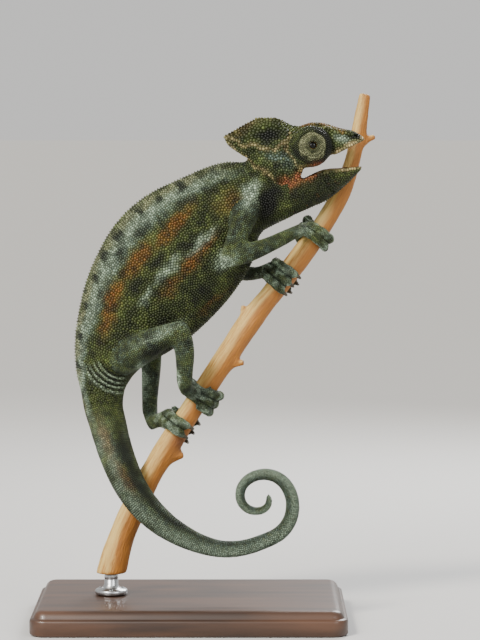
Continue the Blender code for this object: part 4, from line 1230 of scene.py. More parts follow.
@dataclass
class Coat:
    """All the scales, from their places on the skin to their meshes."""

    hide: Hide
    seed: int = 7
    sides: int = 6
    sunk: float = 0.09  # how far a scale's foot lies below the skin
    crown: float = 0.68  # the flat top's width, as a share of the foot's
    gap: float = 0.05
    widest_step: float = 2.1  # radians between neighbours, past which a scale stands at an edge
    relaxations: int = 8
    tail_end: float = 1.2  # the last of the tail, too thin for scales
    patch: float = 0.003  # width of a scale's patch in the bake map
    tree: BVHTree = field(init=False)
    vertex_normals: np.ndarray = field(init=False)

    def __post_init__(self) -> None:
        """Builds the search tree over the skin."""
        surface = self.hide.surface
        self.tree = BVHTree.FromPolygons(surface.points.tolist(), surface.faces.tolist())
        self.vertex_normals = surface.normals()

    # ---- where the scales stand

    def spacing(self, points: np.ndarray, parts: np.ndarray) -> np.ndarray:
        """The wanted distance between scales at each point."""
        size = np.array([SPACING[name] for name in self.hide.map.names])[parts]
        for side in Side:
            base, axis = eye_frame(side)
            local = points - base
            out = local @ axis
            gap = np.linalg.norm(local - out[:, None] * axis, axis=1)
            dome = (gap < 8.2) & (out > 0.5)
            size = np.where(dome, 0.46 + 0.042 * gap, size)
        zone = np.array([FLESH[name].value for name in self.hide.map.names])[parts]
        top = (zone == Zone.HEAD.value) & (points[:, 2] > 171) & (points[:, 0] < 38)
        size = np.where(top, 1.12, size)
        tip = zone == Zone.TAIL.value
        _, share = near_line(points[tip], [s[:3] for s in curl_stations(30)])
        size[tip] *= 1 - 0.2 * share
        toe = zone == Zone.FOOT.value
        for grip in GRIPS:
            reach = np.linalg.norm(points - np.array(grip.middle + grip.out * (grip.wood + 2)), axis=1)
            size = np.where(toe & (reach < 14), np.clip(0.68 - 0.015 * reach, 0.5, 0.64), size)
        return size

    def project(self, points: np.ndarray) -> tuple[np.ndarray, np.ndarray]:
        """Drops points on the skin.

        Args:
            points: rows of x, y, z near the skin.

        Returns:
            The nearest places on the skin, and the smooth normals there.
        """
        surface = self.hide.surface
        found = [self.tree.find_nearest(p) for p in points.tolist()]
        places = np.array([hit[0] for hit in found])
        faces = surface.faces[[hit[2] for hit in found]]
        normals = self.vertex_normals[faces].sum(1)
        return places, normals / np.linalg.norm(normals, axis=1, keepdims=True)

    def row_seeds(self) -> np.ndarray:
        """Places in rings round the limbs, tail and trunk, and round each eye."""
        found: list[np.ndarray] = []
        lines: list[tuple[Sequence[Sequence[float]], float]] = [
            ([(*row[:3], row[3], row[4]) for row in BACKBONE], SPACING["trunk"]),
            ([*TAIL[:6]], SPACING["tail_mid"]),
            ([*TAIL[5:], *[(*s, s[3]) for s in curl_stations(24)[1:]]], 0.64),
        ]
        lines += [([(*s, s[3]) for s in limb], 0.76) for limb in LIMBS.values()]
        for line, size in lines:
            found.append(self.rings_along(line, size))
        for side in Side:
            found.append(self.rings_round_eye(side))
        return np.concatenate(found)

    def rings_along(self, line: Sequence[Sequence[float]], size: float) -> np.ndarray:
        """Staggered rings of places round a line of (x, y, z, half depth, half width)."""
        fine = np.array([curve_at(line, k / 400) for k in range(401)])
        passed = np.concatenate([[0], np.cumsum(np.linalg.norm(np.diff(fine[:, :3], axis=0), axis=1))])
        rows = int(passed[-1] / (size * 0.88))
        places = []
        for n in range(rows):
            k = int(np.searchsorted(passed, (n + 0.5) * passed[-1] / rows))
            k = min(max(k, 1), 399)
            way = fine[k + 1, :3] - fine[k - 1, :3]
            way /= np.linalg.norm(way)
            side = np.array((0.0, 1.0, 0.0)) - way * way[1]
            side /= np.linalg.norm(side)
            up = np.cross(way, side)
            deep, wide = fine[k, 3], fine[k, 4]
            count = max(6, int(math.pi * (3 * (deep + wide) - math.sqrt((3 * deep + wide) * (deep + 3 * wide))) / size))
            turn = (np.arange(count) + 0.5 * (n % 2)) * math.tau / count
            places.append(fine[k, :3] + np.outer(np.cos(turn) * wide, side) + np.outer(np.sin(turn) * deep, up))
        return np.concatenate(places)

    def rings_round_eye(self, side: Side) -> np.ndarray:
        """Rings of places on the lids, from the opening down to the turret's foot."""
        base, axis = eye_frame(side)
        across = np.cross(axis, (0.0, 0.0, 1.0))
        across /= np.linalg.norm(across)
        up = np.cross(axis, across)
        places = []
        radius, step = 1.85, 0
        while radius < 7.7:
            size = 0.46 + 0.042 * radius
            out = float(np.interp(-radius, [-r for _, r in EYE_DOME[1:]], [o for o, _ in EYE_DOME[1:]]))
            count = int(math.tau * radius / size)
            turn = (np.arange(count) + 0.5 * (step % 2)) * math.tau / count
            places.append(base + axis * out + np.outer(np.cos(turn) * radius, across) + np.outer(np.sin(turn) * radius, up))
            radius += size * 0.86
            step += 1
        return np.concatenate(places)

    def crest_seeds(self) -> Beads:
        """The larger, pointed scales along the back, the throat and belly, and the skull's crests."""
        places, sizes, rises, cones = [], [], [], []

        def row(line: Sequence[Point], size: float, rise: float, cone: float = 1.0) -> None:
            corners = np.asarray(line, float)
            spans = np.linalg.norm(np.diff(corners, axis=0), axis=1)
            passed = np.concatenate([[0], np.cumsum(spans)])
            count = int(passed[-1] / size)
            for k in range(count):
                at = (k + 0.5) * passed[-1] / count
                places.append([np.interp(at, passed, corners[:, axis]) for axis in range(3)])
                sizes.append(size * (0.92 + 0.16 * (k * 0.618 % 1)))
                rises.append(rise * (0.8 + 0.4 * (k * 0.382 % 1)))
                cones.append(cone)

        spine, keel = [], []
        for k in range(70):
            x, _, z, deep, _ = curve_at(BACKBONE, k / 69)
            ahead = curve_at(BACKBONE, min(1.0, k / 69 + 0.01))[:3] - curve_at(BACKBONE, max(0.0, k / 69 - 0.01))[:3]
            up = np.array((ahead[2], 0.0, -ahead[0])) / math.hypot(ahead[0], ahead[2])
            up = up if up[2] > 0 or up[0] < 0 else -up
            spine.append((x + up[0] * deep, 0.0, z + up[2] * deep))
            keel.append((x - up[0] * deep, 0.0, z - up[2] * deep))
        row([p for p in spine if p[0] < 17.0], 1.12, 0.62)
        row([p for p in keel if p[2] > 98.0], 0.92, 0.42)
        row([(x, 0.0, z) for x, z in ((27.0, 141.4), (35.0, 145.0), (44.3, 149.4), (52.4, 153.9), (58.0, 158.9))], 0.9, 0.5)
        row([(x, 0.0, z) for x, z in ((12.2, 175.6), (17.3, 178.3), (23.0, 181.3), (27.0, 182.1), (31.5, 181.7), (36.0, 179.6))], 1.1, 0.38, 0.6)
        for fold in FOLDS[:3]:
            for side in Side:
                row([(x, side.value * 9.0, z) for x, z in fold.line], 1.15, 0.4, 0.5)
        for side in Side:
            for line, lift in ((UPPER_LIP, 0.5), (UPPER_LIP, 1.5), (LOWER_LIP, -0.5), (LOWER_LIP, -1.5)):
                row([(x, side.value * 8.0, z + lift) for x, z in line], 1.1, 0.26, 0.0)
            for reach in GROIN_GROOVES[:3]:
                for step in (0.5, 1.3):
                    row([(x, side.value * 9.0, z) for x, z in groin_arc(reach + step)], 0.8, 0.24, 0.0)
        return Beads(np.array(places), np.array(sizes), np.array(rises), np.array(cones))

    def scatter(self, size: np.ndarray, rng: np.random.Generator) -> np.ndarray:
        """Random places all over the skin, closer where the scales are smaller."""
        surface = self.hide.surface
        corners = surface.points[surface.faces]
        area = 0.5 * np.linalg.norm(np.cross(corners[:, 1] - corners[:, 0], corners[:, 2] - corners[:, 0]), axis=1)
        mean = size[surface.faces].mean(1)
        count = rng.poisson(area / (0.8 * mean**2) * 4.5)
        corners = np.repeat(corners, count, axis=0)
        u, v = rng.random(len(corners)), rng.random(len(corners))
        fold = u + v > 1
        u, v = np.where(fold, 1 - u, u), np.where(fold, 1 - v, v)
        return corners[:, 0] + (corners[:, 1] - corners[:, 0]) * u[:, None] + (corners[:, 2] - corners[:, 0]) * v[:, None]

    def bare(self, places: np.ndarray, normals: np.ndarray, parts: np.ndarray) -> np.ndarray:
        """Where no scale stands: inside the mouth and the lids, and against the perch."""
        gone = self.hide.lining(places, normals, parts, self.tree) > 0.5
        names = self.hide.map.names
        ahead = places[:, 0] > 43.5
        gone |= (parts == names.index("lower_jaw")) & ahead & (normals[:, 2] > 0.45) & (places[:, 2] > 158.0)
        gone |= (parts == names.index("head")) & ahead & (normals[:, 2] < -0.55)
        gone |= np.linalg.norm(places - np.array(curl_stations(40)[-1][:3]), axis=1) < self.tail_end
        for side in Side:
            base, axis = eye_frame(side)
            centre = base + axis * EYEBALL_OUT
            gone |= np.linalg.norm(places - centre, axis=1) < EYEBALL_RADIUS + 0.5
            gone |= np.hypot(places[:, 0] - NOSTRIL[0], places[:, 2] - NOSTRIL[2]) < 0.62
        gap, share = near_line(places, [s[:3] for s in PERCH])
        wood = np.interp(share, np.linspace(0, 1, len(PERCH)), [s[3] for s in PERCH])
        return gone | (gap < wood - 0.1)

    def stand(self) -> Beads:
        """Finds every scale's place: crest rows first, then rings, then what is left between."""
        rng = np.random.default_rng(self.seed)
        surface = self.hide.surface
        size = self.spacing(surface.points, self.hide.parts)
        crest = self.crest_seeds()
        crest_places, _ = self.project(crest.places)
        rings, _ = self.project(self.row_seeds())
        rings += rng.normal(0.0, 0.05, rings.shape)
        loose = self.scatter(size, rng)
        places = np.concatenate([crest_places, rings, loose])
        log.info("scale seeds: %d rows, %d loose", len(rings), len(loose))
        parts = self.hide.map.nearest(places)
        sizes = self.spacing(places, parts)
        sizes[: len(crest_places)] = crest.size
        kept = self.thinned(places, sizes * np.concatenate([np.full(len(crest_places), 0.7), np.full(len(rings), 0.76), np.full(len(loose), 0.8)]))
        places, sizes, parts = places[kept], sizes[kept], parts[kept]
        crests = kept < len(crest_places)
        cones = np.zeros(len(kept))
        cones[crests] = crest.point[kept[crests]]
        for _ in range(self.relaxations):
            places = self.spread(places, sizes, crests)
            places, normals = self.project(places)
        stays = ~self.bare(places, normals, parts)
        rise = sizes * (0.27 + 0.05 * rng.random(len(sizes)))
        rise[crests] = crest.rise[kept[crests]]
        return Beads(places[stays], sizes[stays], rise[stays], cones[stays], parts[stays], normals[stays])

    @staticmethod
    def thinned(places: np.ndarray, reach: np.ndarray) -> np.ndarray:
        """Keeps places in order, dropping each one that comes too near an earlier one."""
        tree = KDTree(len(places))
        rows = places.tolist()
        for k, row in enumerate(rows):
            tree.insert(row, k)
        tree.balance()
        gone = np.zeros(len(places), bool)
        kept = []
        for k, row in enumerate(rows):
            if not gone[k]:
                kept.append(k)
                for _, other, _ in tree.find_range(row, reach[k]):
                    if other > k:
                        gone[other] = True
        return np.array(kept)

    @staticmethod
    def neighbours(places: np.ndarray, count: int) -> np.ndarray:
        """The numbers of each place's nearest others, nearest first."""
        tree = KDTree(len(places))
        rows = places.tolist()
        for k, row in enumerate(rows):
            tree.insert(row, k)
        tree.balance()
        return np.array([[hit[1] for hit in tree.find_n(row, count + 1)[1:]] for row in rows])

    def spread(self, places: np.ndarray, sizes: np.ndarray, fixed: np.ndarray) -> np.ndarray:
        """Pushes crowded scales apart by a step."""
        near = self.neighbours(places, 7)
        away = places[:, None] - places[near]
        gap = np.linalg.norm(away, axis=2)
        want = 0.54 * (sizes[:, None] + sizes[near])
        push = np.clip(1 - gap / want, 0, 0.6) * want / np.maximum(gap, 1e-6)
        moved = (away * push[:, :, None]).sum(1) * 0.42
        moved[fixed] *= 0.1
        return places + moved

    # ---- their shapes

    def cells(self, beads: Beads) -> tuple[np.ndarray, np.ndarray, np.ndarray, np.ndarray]:
        """Cuts each scale's outline to its neighbours.

        Returns:
            The angle and the radius of every corner, and the two directions they are measured in.
        """
        near = self.neighbours(beads.places, 8)
        away = beads.places[near] - beads.places[:, None]
        across = np.cross(beads.normals, np.where(np.abs(beads.normals[:, 1:2]) < 0.9, (0.0, 1.0, 0.0), (1.0, 0.0, 0.0)))
        across /= np.linalg.norm(across, axis=1, keepdims=True)
        up = np.cross(beads.normals, across)
        u = (away * across[:, None]).sum(2)
        v = (away * up[:, None]).sum(2)
        gap = np.linalg.norm(away, axis=2)
        facing = (beads.normals[near] * beads.normals[:, None]).sum(2) > 0.1
        half = gap * beads.size[:, None] / (beads.size[:, None] + beads.size[near])
        half = np.where(facing, half, 9.0)
        turn = np.arctan2(v, u)
        order = np.argsort(np.where(facing, gap, 9.0), axis=1)[:, : self.sides]
        nearest = np.sort(np.take_along_axis(turn, order, 1), axis=1)
        step = np.diff(np.concatenate([nearest, nearest[:, :1] + math.tau], axis=1), axis=1)
        corner = nearest + step / 2
        open_side = step.max(1) > self.widest_step
        even = nearest[:, :1] + (np.arange(self.sides) + 0.5) * math.tau / self.sides
        corner = np.where(open_side[:, None], even, corner)
        most = np.where(open_side, 0.6, 0.76) * beads.size
        lean = np.cos(corner[:, :, None] - turn[:, None, :])
        reach = np.where(lean > 0.2, half[:, None, :] / np.maximum(lean, 0.2), 9.0).min(2)
        radius = np.minimum(reach, most[:, None]) * 0.97 - self.gap * 0.5
        return corner, np.maximum(radius, 0.08), across, up

    def mesh_arrays(self, beads: Beads) -> tuple[np.ndarray, np.ndarray]:
        """All the scales' corners and faces.

        Returns:
            Corners as (scales, corners of one, 3), and the corner numbers of one scale's triangles.
        """
        corner, radius, across, up = self.cells(beads)
        spoke = np.cos(corner)[:, :, None] * across[:, None] + np.sin(corner)[:, :, None] * up[:, None]
        normal = beads.normals[:, None]
        foot = beads.places[:, None] + spoke * radius[:, :, None] - normal * self.sunk
        crown = self.crown * (1 - 0.42 * beads.point)
        high = beads.rise * (0.8 - 0.2 * beads.point)
        ring = beads.places[:, None] + spoke * (radius * crown[:, None])[:, :, None] + normal * high[:, None, None]
        tip = beads.places[:, None] + normal * beads.rise[:, None, None]
        n = self.sides
        triangles = []
        for k in range(n):
            m = (k + 1) % n
            triangles += [(k, m, n + m), (k, n + m, n + k), (n + k, n + m, 2 * n)]
        triangles += [(0, k + 1, k) for k in range(1, n - 1)]
        return np.concatenate([foot, ring, tip], axis=1), np.array(triangles)

    # ---- their objects

    def build(self, marks: MarksAndShading, unwrap: Unwrap, material: bpy.types.Material) -> list[bpy.types.Object]:
        """Makes the coat.

        Args:
            marks: the body's markings, with their painted highlights and shade.
            unwrap: the flat map of the skin, for the bake.
            material: the scales' finish.

        Returns:
            One object for each of the coat's pieces.
        """
        beads = self.stand()
        log.info("scales: %d", len(beads.places))
        corners, triangles = self.mesh_arrays(beads)
        first, second = marks.read(beads.places, beads.parts, np.zeros(len(beads.places)))
        shade = np.random.default_rng(self.seed + 1).random(len(beads.places))
        flat = unwrap.read(beads.places)
        names = self.hide.map.names
        made = []
        for piece in Patchwork:
            chosen = np.isin(beads.parts, [names.index(n) for n in piece.value if n in names])
            if piece in (Patchwork.FLANK_RIGHT, Patchwork.FLANK_LEFT):
                left = beads.places[:, 1] > 0
                chosen &= left if piece is Patchwork.FLANK_LEFT else ~left
            rows = np.flatnonzero(chosen)
            made.append(self.piece(f"scales_{piece.name.lower()}", rows, beads, corners, triangles, first, second, shade, flat))
            made[-1].data.materials.append(material)
        return made

    def piece(
        self,
        name: str,
        rows: np.ndarray,
        beads: Beads,
        corners: np.ndarray,
        triangles: np.ndarray,
        first: np.ndarray,
        second: np.ndarray,
        shade: np.ndarray,
        flat: np.ndarray,
    ) -> bpy.types.Object:
        """Joins some of the scales in one mesh, with their marks, painted light and shade among them, and their bake
        map.
        """
        each = corners.shape[1]
        points = corners[rows].reshape(-1, 3) * MM
        faces = (triangles[None] + np.arange(len(rows))[:, None, None] * each).reshape(-1, 3)
        mesh = bpy.data.meshes.new(name)
        mesh.vertices.add(len(points))
        mesh.vertices.foreach_set("co", points.astype(np.float32).ravel())
        mesh.loops.add(faces.size)
        mesh.loops.foreach_set("vertex_index", faces.astype(np.int32).ravel())
        mesh.polygons.add(len(faces))
        mesh.polygons.foreach_set("loop_start", np.arange(0, faces.size, 3, dtype=np.int32))
        mesh.update(calc_edges=True)
        write_attributes(mesh, np.repeat(beads.places[rows] * MM, each, 0), np.repeat(first[rows], each, 0), np.repeat(second[rows], each, 0), np.repeat(shade[rows], each))
        n = self.sides
        turn = np.arange(n) * math.tau / n
        wheel = np.concatenate([
            np.stack([np.cos(turn), np.sin(turn)], 1),
            np.stack([np.cos(turn), np.sin(turn)], 1) * self.crown,
            np.zeros((1, 2)),
        ]) * self.patch / 2
        uv = (flat[rows][:, None] + wheel[None]).reshape(-1, 2)[faces.ravel()]
        layer = mesh.uv_layers.new(name="OFBake")
        layer.data.foreach_set("uv", uv.astype(np.float32).ravel())
        obj = mesh_object(name, mesh)
        log.info("%s: %d scales, %d triangles", name, len(rows), len(faces))
        return obj


def write_attributes(
    mesh: bpy.types.Mesh, root: np.ndarray, first: np.ndarray, second: np.ndarray, shade: np.ndarray
) -> None:
    """Stores what the skin's finish reads at every corner.

    Args:
        mesh: the mesh that takes them.
        root: each corner's place on the body, in metres.
        first: the shares of rust, pale with painted highlights, dusk with painted shade, and slate.
        second: the shares of warm, cream, ring with a painted highlight line, and moss.
        shade: a number from 0 to 1 that is one scale's own.
    """
    for name, kind, field_name, values in (
        ("root", "FLOAT_VECTOR", "vector", root),
        ("marks_and_shading_first", "FLOAT_COLOR", "color", first),
        ("marks_and_shading_second", "FLOAT_COLOR", "color", second),
        ("shade", "FLOAT", "value", shade),
    ):
        layer = mesh.attributes.new(name, kind, "POINT")
        layer.data.foreach_set(field_name, np.ascontiguousarray(values, np.float32).ravel())


class Unwrap:
    """A flat map of the skin's own shape, read at any place on it."""

    def __init__(self, skin: bpy.types.Object, faces: int = 9000, angle: float = 66.0, margin: float = 0.004) -> None:
        """Unfolds a light copy of the skin along its own bends.

        Args:
            skin: the skin's object.
            faces: how many triangles the light copy has.
            angle: degrees between faces past which the map is cut.
            margin: the room left between the map's islands.
        """
        copy = bpy.data.objects.new("unwrap", skin.data.copy())
        bpy.context.scene.collection.objects.link(copy)
        thin = copy.modifiers.new("Thin", "DECIMATE")
        thin.ratio = faces / max(len(copy.data.polygons), 1)
        thin.use_collapse_triangulate = True
        apply_modifiers(copy)
        bpy.context.view_layer.objects.active = copy
        copy.select_set(True)
        bpy.ops.object.mode_set(mode="EDIT")
        bpy.ops.mesh.select_all(action="SELECT")
        bpy.ops.uv.smart_project(angle_limit=math.radians(angle), island_margin=margin)
        bpy.ops.object.mode_set(mode="OBJECT")
        surface = Surface(copy.data)
        self.corners = surface.points[surface.faces]
        uv = np.empty(len(copy.data.loops) * 2, np.float32)
        copy.data.uv_layers.active.data.foreach_get("uv", uv)
        loops = np.empty(len(copy.data.loop_triangles) * 3, np.int32)
        copy.data.loop_triangles.foreach_get("loops", loops)
        self.flat = uv.reshape(-1, 2)[loops.reshape(-1, 3)]
        self.tree = BVHTree.FromPolygons(surface.points.tolist(), surface.faces.tolist())
        bpy.data.objects.remove(copy)

    def read(self, points: np.ndarray) -> np.ndarray:
        """The place on the flat map of each point on the skin."""
        hits = [self.tree.find_nearest(p) for p in points.tolist()]
        face = np.array([hit[2] for hit in hits])
        place = np.array([hit[0] for hit in hits])
        a, b, c = (self.corners[face, k] for k in range(3))
        across = np.cross(b - a, c - a)
        whole = np.maximum((across**2).sum(1), 1e-12)
        share_b = (np.cross(place - a, c - a) * across).sum(1) / whole
        share_c = (np.cross(b - a, place - a) * across).sum(1) / whole
        shares = np.stack([1 - share_b - share_c, share_b, share_c], 1)
        return (self.flat[face] * shares[:, :, None]).sum(1)


# ---------------------------------------------------------------- finishes


@dataclass(frozen=True)
class HideFinish:
    """The colours and the surface of living chameleon skin.

    Dull greens and browns in small irregular patches, each scale a little unlike the next,
    with a waxy half-gloss on the crowns and almost none in the seams.
    """

    name: str
    depth: float  # brightness of the whole; below 1 for the skin down in the seams, a darker skin that also paints the seams' shade
    dark_green: str = "#1c220d"
    moss_green: str = "#485226"
    rust: str = "#5c3a10"
    # the colour of the pale marks and of the painted highlights
    pale: str = "#93a58f"
    # the colour of the dark marks and of the painted shade
    dusk: str = "#090c06"
    slate: str = "#586960"
    warm: str = "#8b4d30"
    cream: str = "#a8976a"
    lid: str = "#686a4e"
    gloss: float = 0.31
    roughness: tuple[float, float] = (0.42, 0.62)

    def build(self) -> bpy.types.Material:
        """Makes the material."""
        material, tree = new_material(self.name)
        root = add_node(tree, "Attribute", attribute_name="root").outputs["Vector"]
        own = add_node(tree, "Attribute", attribute_name="shade").outputs["Fac"]
        first = add_node(tree, "Attribute", attribute_name="marks_and_shading_first")
        second = add_node(tree, "Attribute", attribute_name="marks_and_shading_second")
        split_first = add_node(tree, "SeparateColor", {0: first.outputs["Color"]})
        split_second = add_node(tree, "SeparateColor", {0: second.outputs["Color"]})

        def cloud(size_mm: float, low: float, high: float) -> bpy.types.NodeSocket:
            noise_node = add_node(tree, "TexNoise", {"Vector": root, "Scale": 1 / (size_mm * MM), "Detail": 3.0})
            return add_node(
                tree, "MapRange", {"Value": noise_node.outputs["Fac"], "From Min": low, "From Max": high}
            ).outputs[0]

        def mixed(share: bpy.types.NodeSocket, below: bpy.types.NodeSocket | tuple, above: Any) -> bpy.types.NodeSocket:
            return add_node(tree, "Mix", {"Factor": share, "A": below, "B": above}, data_type="RGBA").outputs["Result"]

        def paint(below: Any, share: bpy.types.NodeSocket, colour: str, grain: bpy.types.NodeSocket) -> bpy.types.NodeSocket:
            ragged = add_node(tree, "Math", {0: share, 1: grain}, operation="MULTIPLY").outputs[0]
            return mixed(ragged, below, linear(colour))

        coarse = cloud(2.6, 0.36, 0.64)
        fine = cloud(0.9, 0.3, 0.62)
        grain = add_node(tree, "MapRange", {"Value": own, "To Min": 0.78, "To Max": 1.0}).outputs[0]
        moss = add_node(tree, "Math", {0: second.outputs["Alpha"], 1: coarse}, operation="ADD").outputs[0]
        half = add_node(tree, "Math", {0: moss, 1: 0.5}, operation="MULTIPLY").outputs[0]
        colour = mixed(half, linear(self.dark_green), linear(self.moss_green))
        colour = paint(colour, first.outputs["Alpha"], self.slate, fine)
        # pale paints the pale marks and painted highlights, dusk the dark marks and painted shade, lid the lids and a
        # painted highlight line along the back
        colour = paint(colour, split_first.outputs[1], self.pale, grain)
        colour = paint(colour, split_first.outputs[0], self.rust, grain)
        colour = paint(colour, split_first.outputs[2], self.dusk, grain)
        # ring paints the lids and the painted highlight line along the back
        colour = paint(colour, split_second.outputs[2], self.lid, grain)
        colour = paint(colour, split_second.outputs[1], self.cream, grain)
        colour = paint(colour, split_second.outputs[0], self.warm, grain)
        value = add_node(tree, "MapRange", {"Value": own, "To Min": 0.55 * self.depth, "To Max": 1.5 * self.depth}).outputs[0]
        hue = add_node(tree, "MapRange", {"Value": fine, "To Min": 0.485, "To Max": 0.512}).outputs[0]
        colour = add_node(tree, "HueSaturation", {"Hue": hue, "Value": value, "Color": colour}).outputs[0]
        rough = add_node(tree, "MapRange", {"Value": fine, "To Min": self.roughness[0], "To Max": self.roughness[1]}).outputs[0]
        place = add_node(tree, "TexCoord").outputs["Object"]
        pores = add_node(tree, "TexNoise", {"Vector": place, "Scale": 1 / (0.16 * MM), "Detail": 2.0})
        bump = add_node(tree, "Bump", {"Height": pores.outputs["Fac"], "Strength": 0.25, "Distance": 0.03 * MM})
        shader = add_node(
            tree,
            "BsdfPrincipled",
            {"Base Color": colour, "Roughness": rough, "Specular IOR Level": self.gloss, "Normal": bump.outputs[0]},
        )
        add_node(tree, "OutputMaterial", {"Surface": shader.outputs[0]})
        return material


@dataclass(frozen=True)
class GlossFinish:
    """A plain smooth stuff whose colour varies a little over a few millimetres.

    It serves for horn, wet flesh and the parts of an eye: what tells them apart is the
    gloss and the clear film that some of them carry.
    """

    name: str
    colours: tuple[str, str]
    lump: float  # millimetres
    roughness: float
    film: float = 0.0  # a clear wet layer, from 0 to 1
    stretch: Point = (1.0, 1.0, 1.0)
    grain: float = 0.0  # height of the fine relief, in millimetres
    metallic: float = 0.0
    gloss: float = 0.5
    depth_glow: float = 0.0

    def build(self) -> bpy.types.Material:
        """Makes the material."""
        material, tree = new_material(self.name)
        place = add_node(tree, "TexCoord").outputs["Object"]
        size = [s / (self.lump * MM) for s in self.stretch]
        drawn = add_node(tree, "Mapping", {"Vector": place, "Scale": size}).outputs[0]
        cloud = add_node(tree, "TexNoise", {"Vector": drawn, "Scale": 1.0, "Detail": 4.0}).outputs["Fac"]
        share = add_node(tree, "MapRange", {"Value": cloud, "From Min": 0.32, "From Max": 0.68}).outputs[0]
        colour = add_node(
            tree, "Mix", {"Factor": share, "A": linear(self.colours[0]), "B": linear(self.colours[1])}, data_type="RGBA"
        )
        bump = add_node(tree, "Bump", {"Height": cloud, "Strength": 0.6, "Distance": max(self.grain, 1e-3) * MM})
        inputs: dict[Any, Any] = {
            "Base Color": colour.outputs["Result"],
            "Roughness": self.roughness,
            "Specular IOR Level": self.gloss,
            "Coat Weight": self.film,
            "Coat Roughness": 0.04,
            "Metallic": self.metallic,
            "Normal": bump.outputs[0],
        }
        if self.depth_glow:
            inputs |= {"Subsurface Weight": self.depth_glow, "Subsurface Scale": 0.6 * MM}
        shader = add_node(tree, "BsdfPrincipled", inputs)
        add_node(tree, "OutputMaterial", {"Surface": shader.outputs[0]})
        return material


@dataclass(frozen=True)
class BarkFinish:
    """Smooth young bark, with light and shade painted in: cream as painted light where the light falls from above,
    orange-brown as painted shade below.

    Fine fibres run along the branch, and the cut ends show growth rings.
    """

    name: str = "bark"
    # cream is the painted light side, orange the painted shade side and its stains, brown the fibres and knots
    cream: str = "#c8ab64"
    orange: str = "#985f12"
    brown: str = "#5e3412"
    cut_wood: str = "#c9a878"
    ring_wood: str = "#8f6a40"

    def build(self) -> bpy.types.Material:
        """Makes the material, which reads the places and shares that Bough stores."""
        material, tree = new_material(self.name)
        place = add_node(tree, "Attribute", attribute_name="bark_place").outputs["Vector"]
        tones = add_node(tree, "Attribute", attribute_name="bark_tones")
        split = add_node(tree, "SeparateColor", {0: tones.outputs["Color"]})
        drawn = add_node(tree, "Mapping", {"Vector": place, "Scale": (1.0, 1.0, 0.09)}).outputs[0]
        fibre = add_node(tree, "TexNoise", {"Vector": drawn, "Scale": 2.6, "Detail": 5.0}).outputs["Fac"]
        patch = add_node(tree, "TexNoise", {"Vector": drawn, "Scale": 0.55, "Detail": 3.0}).outputs["Fac"]
        thread = add_node(tree, "MapRange", {"Value": fibre, "From Min": 0.34, "From Max": 0.66}).outputs[0]
        cloud = add_node(tree, "MapRange", {"Value": patch, "From Min": 0.36, "From Max": 0.64}).outputs[0]

        def mixed(share: Any, below: Any, above: Any) -> bpy.types.NodeSocket:
            return add_node(tree, "Mix", {"Factor": share, "A": below, "B": above}, data_type="RGBA").outputs["Result"]

        # painted shade: orange-brown with dark threads on the side away from the light
        dark_thread = add_node(tree, "Math", {0: thread, 1: 0.45}, operation="MULTIPLY").outputs[0]
        shaded = mixed(dark_thread, linear(self.orange), linear(self.brown))
        # painted light: cream with orange stains on the side that faces the light
        stained = add_node(tree, "Math", {0: cloud, 1: thread}, operation="MULTIPLY").outputs[0]
        sunny = mixed(stained, linear(self.cream), linear(self.orange))
        colour = mixed(split.outputs[0], shaded, sunny)
        colour = mixed(split.outputs[1], colour, linear(self.brown))
        far = add_node(tree, "Math", {0: split.outputs[2], 1: 5.2}, operation="MULTIPLY").outputs[0]
        wave = add_node(tree, "Math", {0: far, 1: math.tau}, operation="MULTIPLY").outputs[0]
        ring = add_node(tree, "MapRange", {"Value": add_node(tree, "Math", {0: wave}, operation="SINE").outputs[0], "From Min": -1.0}).outputs[0]
        colour = mixed(tones.outputs["Alpha"], colour, mixed(ring, linear(self.cut_wood), linear(self.ring_wood)))
        bump = add_node(tree, "Bump", {"Height": fibre, "Strength": 0.8, "Distance": 0.3 * MM})
        shader = add_node(tree, "BsdfPrincipled", {"Base Color": colour, "Roughness": 0.66, "Normal": bump.outputs[0]})
        add_node(tree, "OutputMaterial", {"Surface": shader.outputs[0]})
        return material


# ---------------------------------------------------------------- the loose pieces


@dataclass
class Eye:
    """One eyeball, turned on its axis: a dark ball, a gold iris and a pupil under a clear bulge."""

    side: Side
    segments: int = 48
    pupil: float = 1.18
    iris: float = 1.5
    bulge: float = 0.34

    def build(self, materials: Sequence[bpy.types.Material]) -> bpy.types.Object:
        """Makes the eyeball.

        Args:
            materials: those of the ball, the iris and the pupil.

        Returns:
            The eyeball's object.
        """
        base, axis = eye_frame(self.side)
        centre = Vector(base + axis * EYEBALL_OUT)
        bm = bmesh.new()
        start = Vector(axis).orthogonal().normalized()
        radii = (0.0, 0.3, 0.6, self.pupil, 1.24, 1.32, 1.4, 1.46, self.iris, 1.72, 2.1)
        turns = [math.asin(r / EYEBALL_RADIUS) for r in radii]
        turns += [turns[-1] + (math.pi - turns[-1]) * k / 14 for k in range(1, 15)]
        verts = []
        for turn in turns:
            reach = EYEBALL_RADIUS * math.sin(turn)
            high = EYEBALL_RADIUS * math.cos(turn) + self.bulge * math.exp(-((reach / 1.35) ** 4)) * (turn < 1)
            high -= 0.09 * math.exp(-(((reach - self.iris) / 0.14) ** 2)) * (turn < 1)
            verts.append(bm.verts.new(centre + Vector(axis) * high + start * reach))
        edges = [bm.edges.new(pair) for pair in zip(verts, verts[1:])]
        bmesh.ops.spin(
            bm, geom=verts + edges, cent=centre, axis=axis, angle=math.tau, steps=self.segments, use_merge=True
        )
        bmesh.ops.remove_doubles(bm, verts=bm.verts, dist=1e-4)
        bmesh.ops.recalc_face_normals(bm, faces=bm.faces)
        for face in bm.faces:
            local = face.calc_center_median() - centre
            gap = (local - Vector(axis) * local.dot(Vector(axis))).length
            front = local.dot(Vector(axis)) > 0
            face.material_index = 2 if front and gap < self.pupil else 1 if front and gap < self.iris else 0
        obj = bmesh_object(f"{self.side.name.lower()}_eyeball", bm)
        for material in materials:
            obj.data.materials.append(material)
        return obj


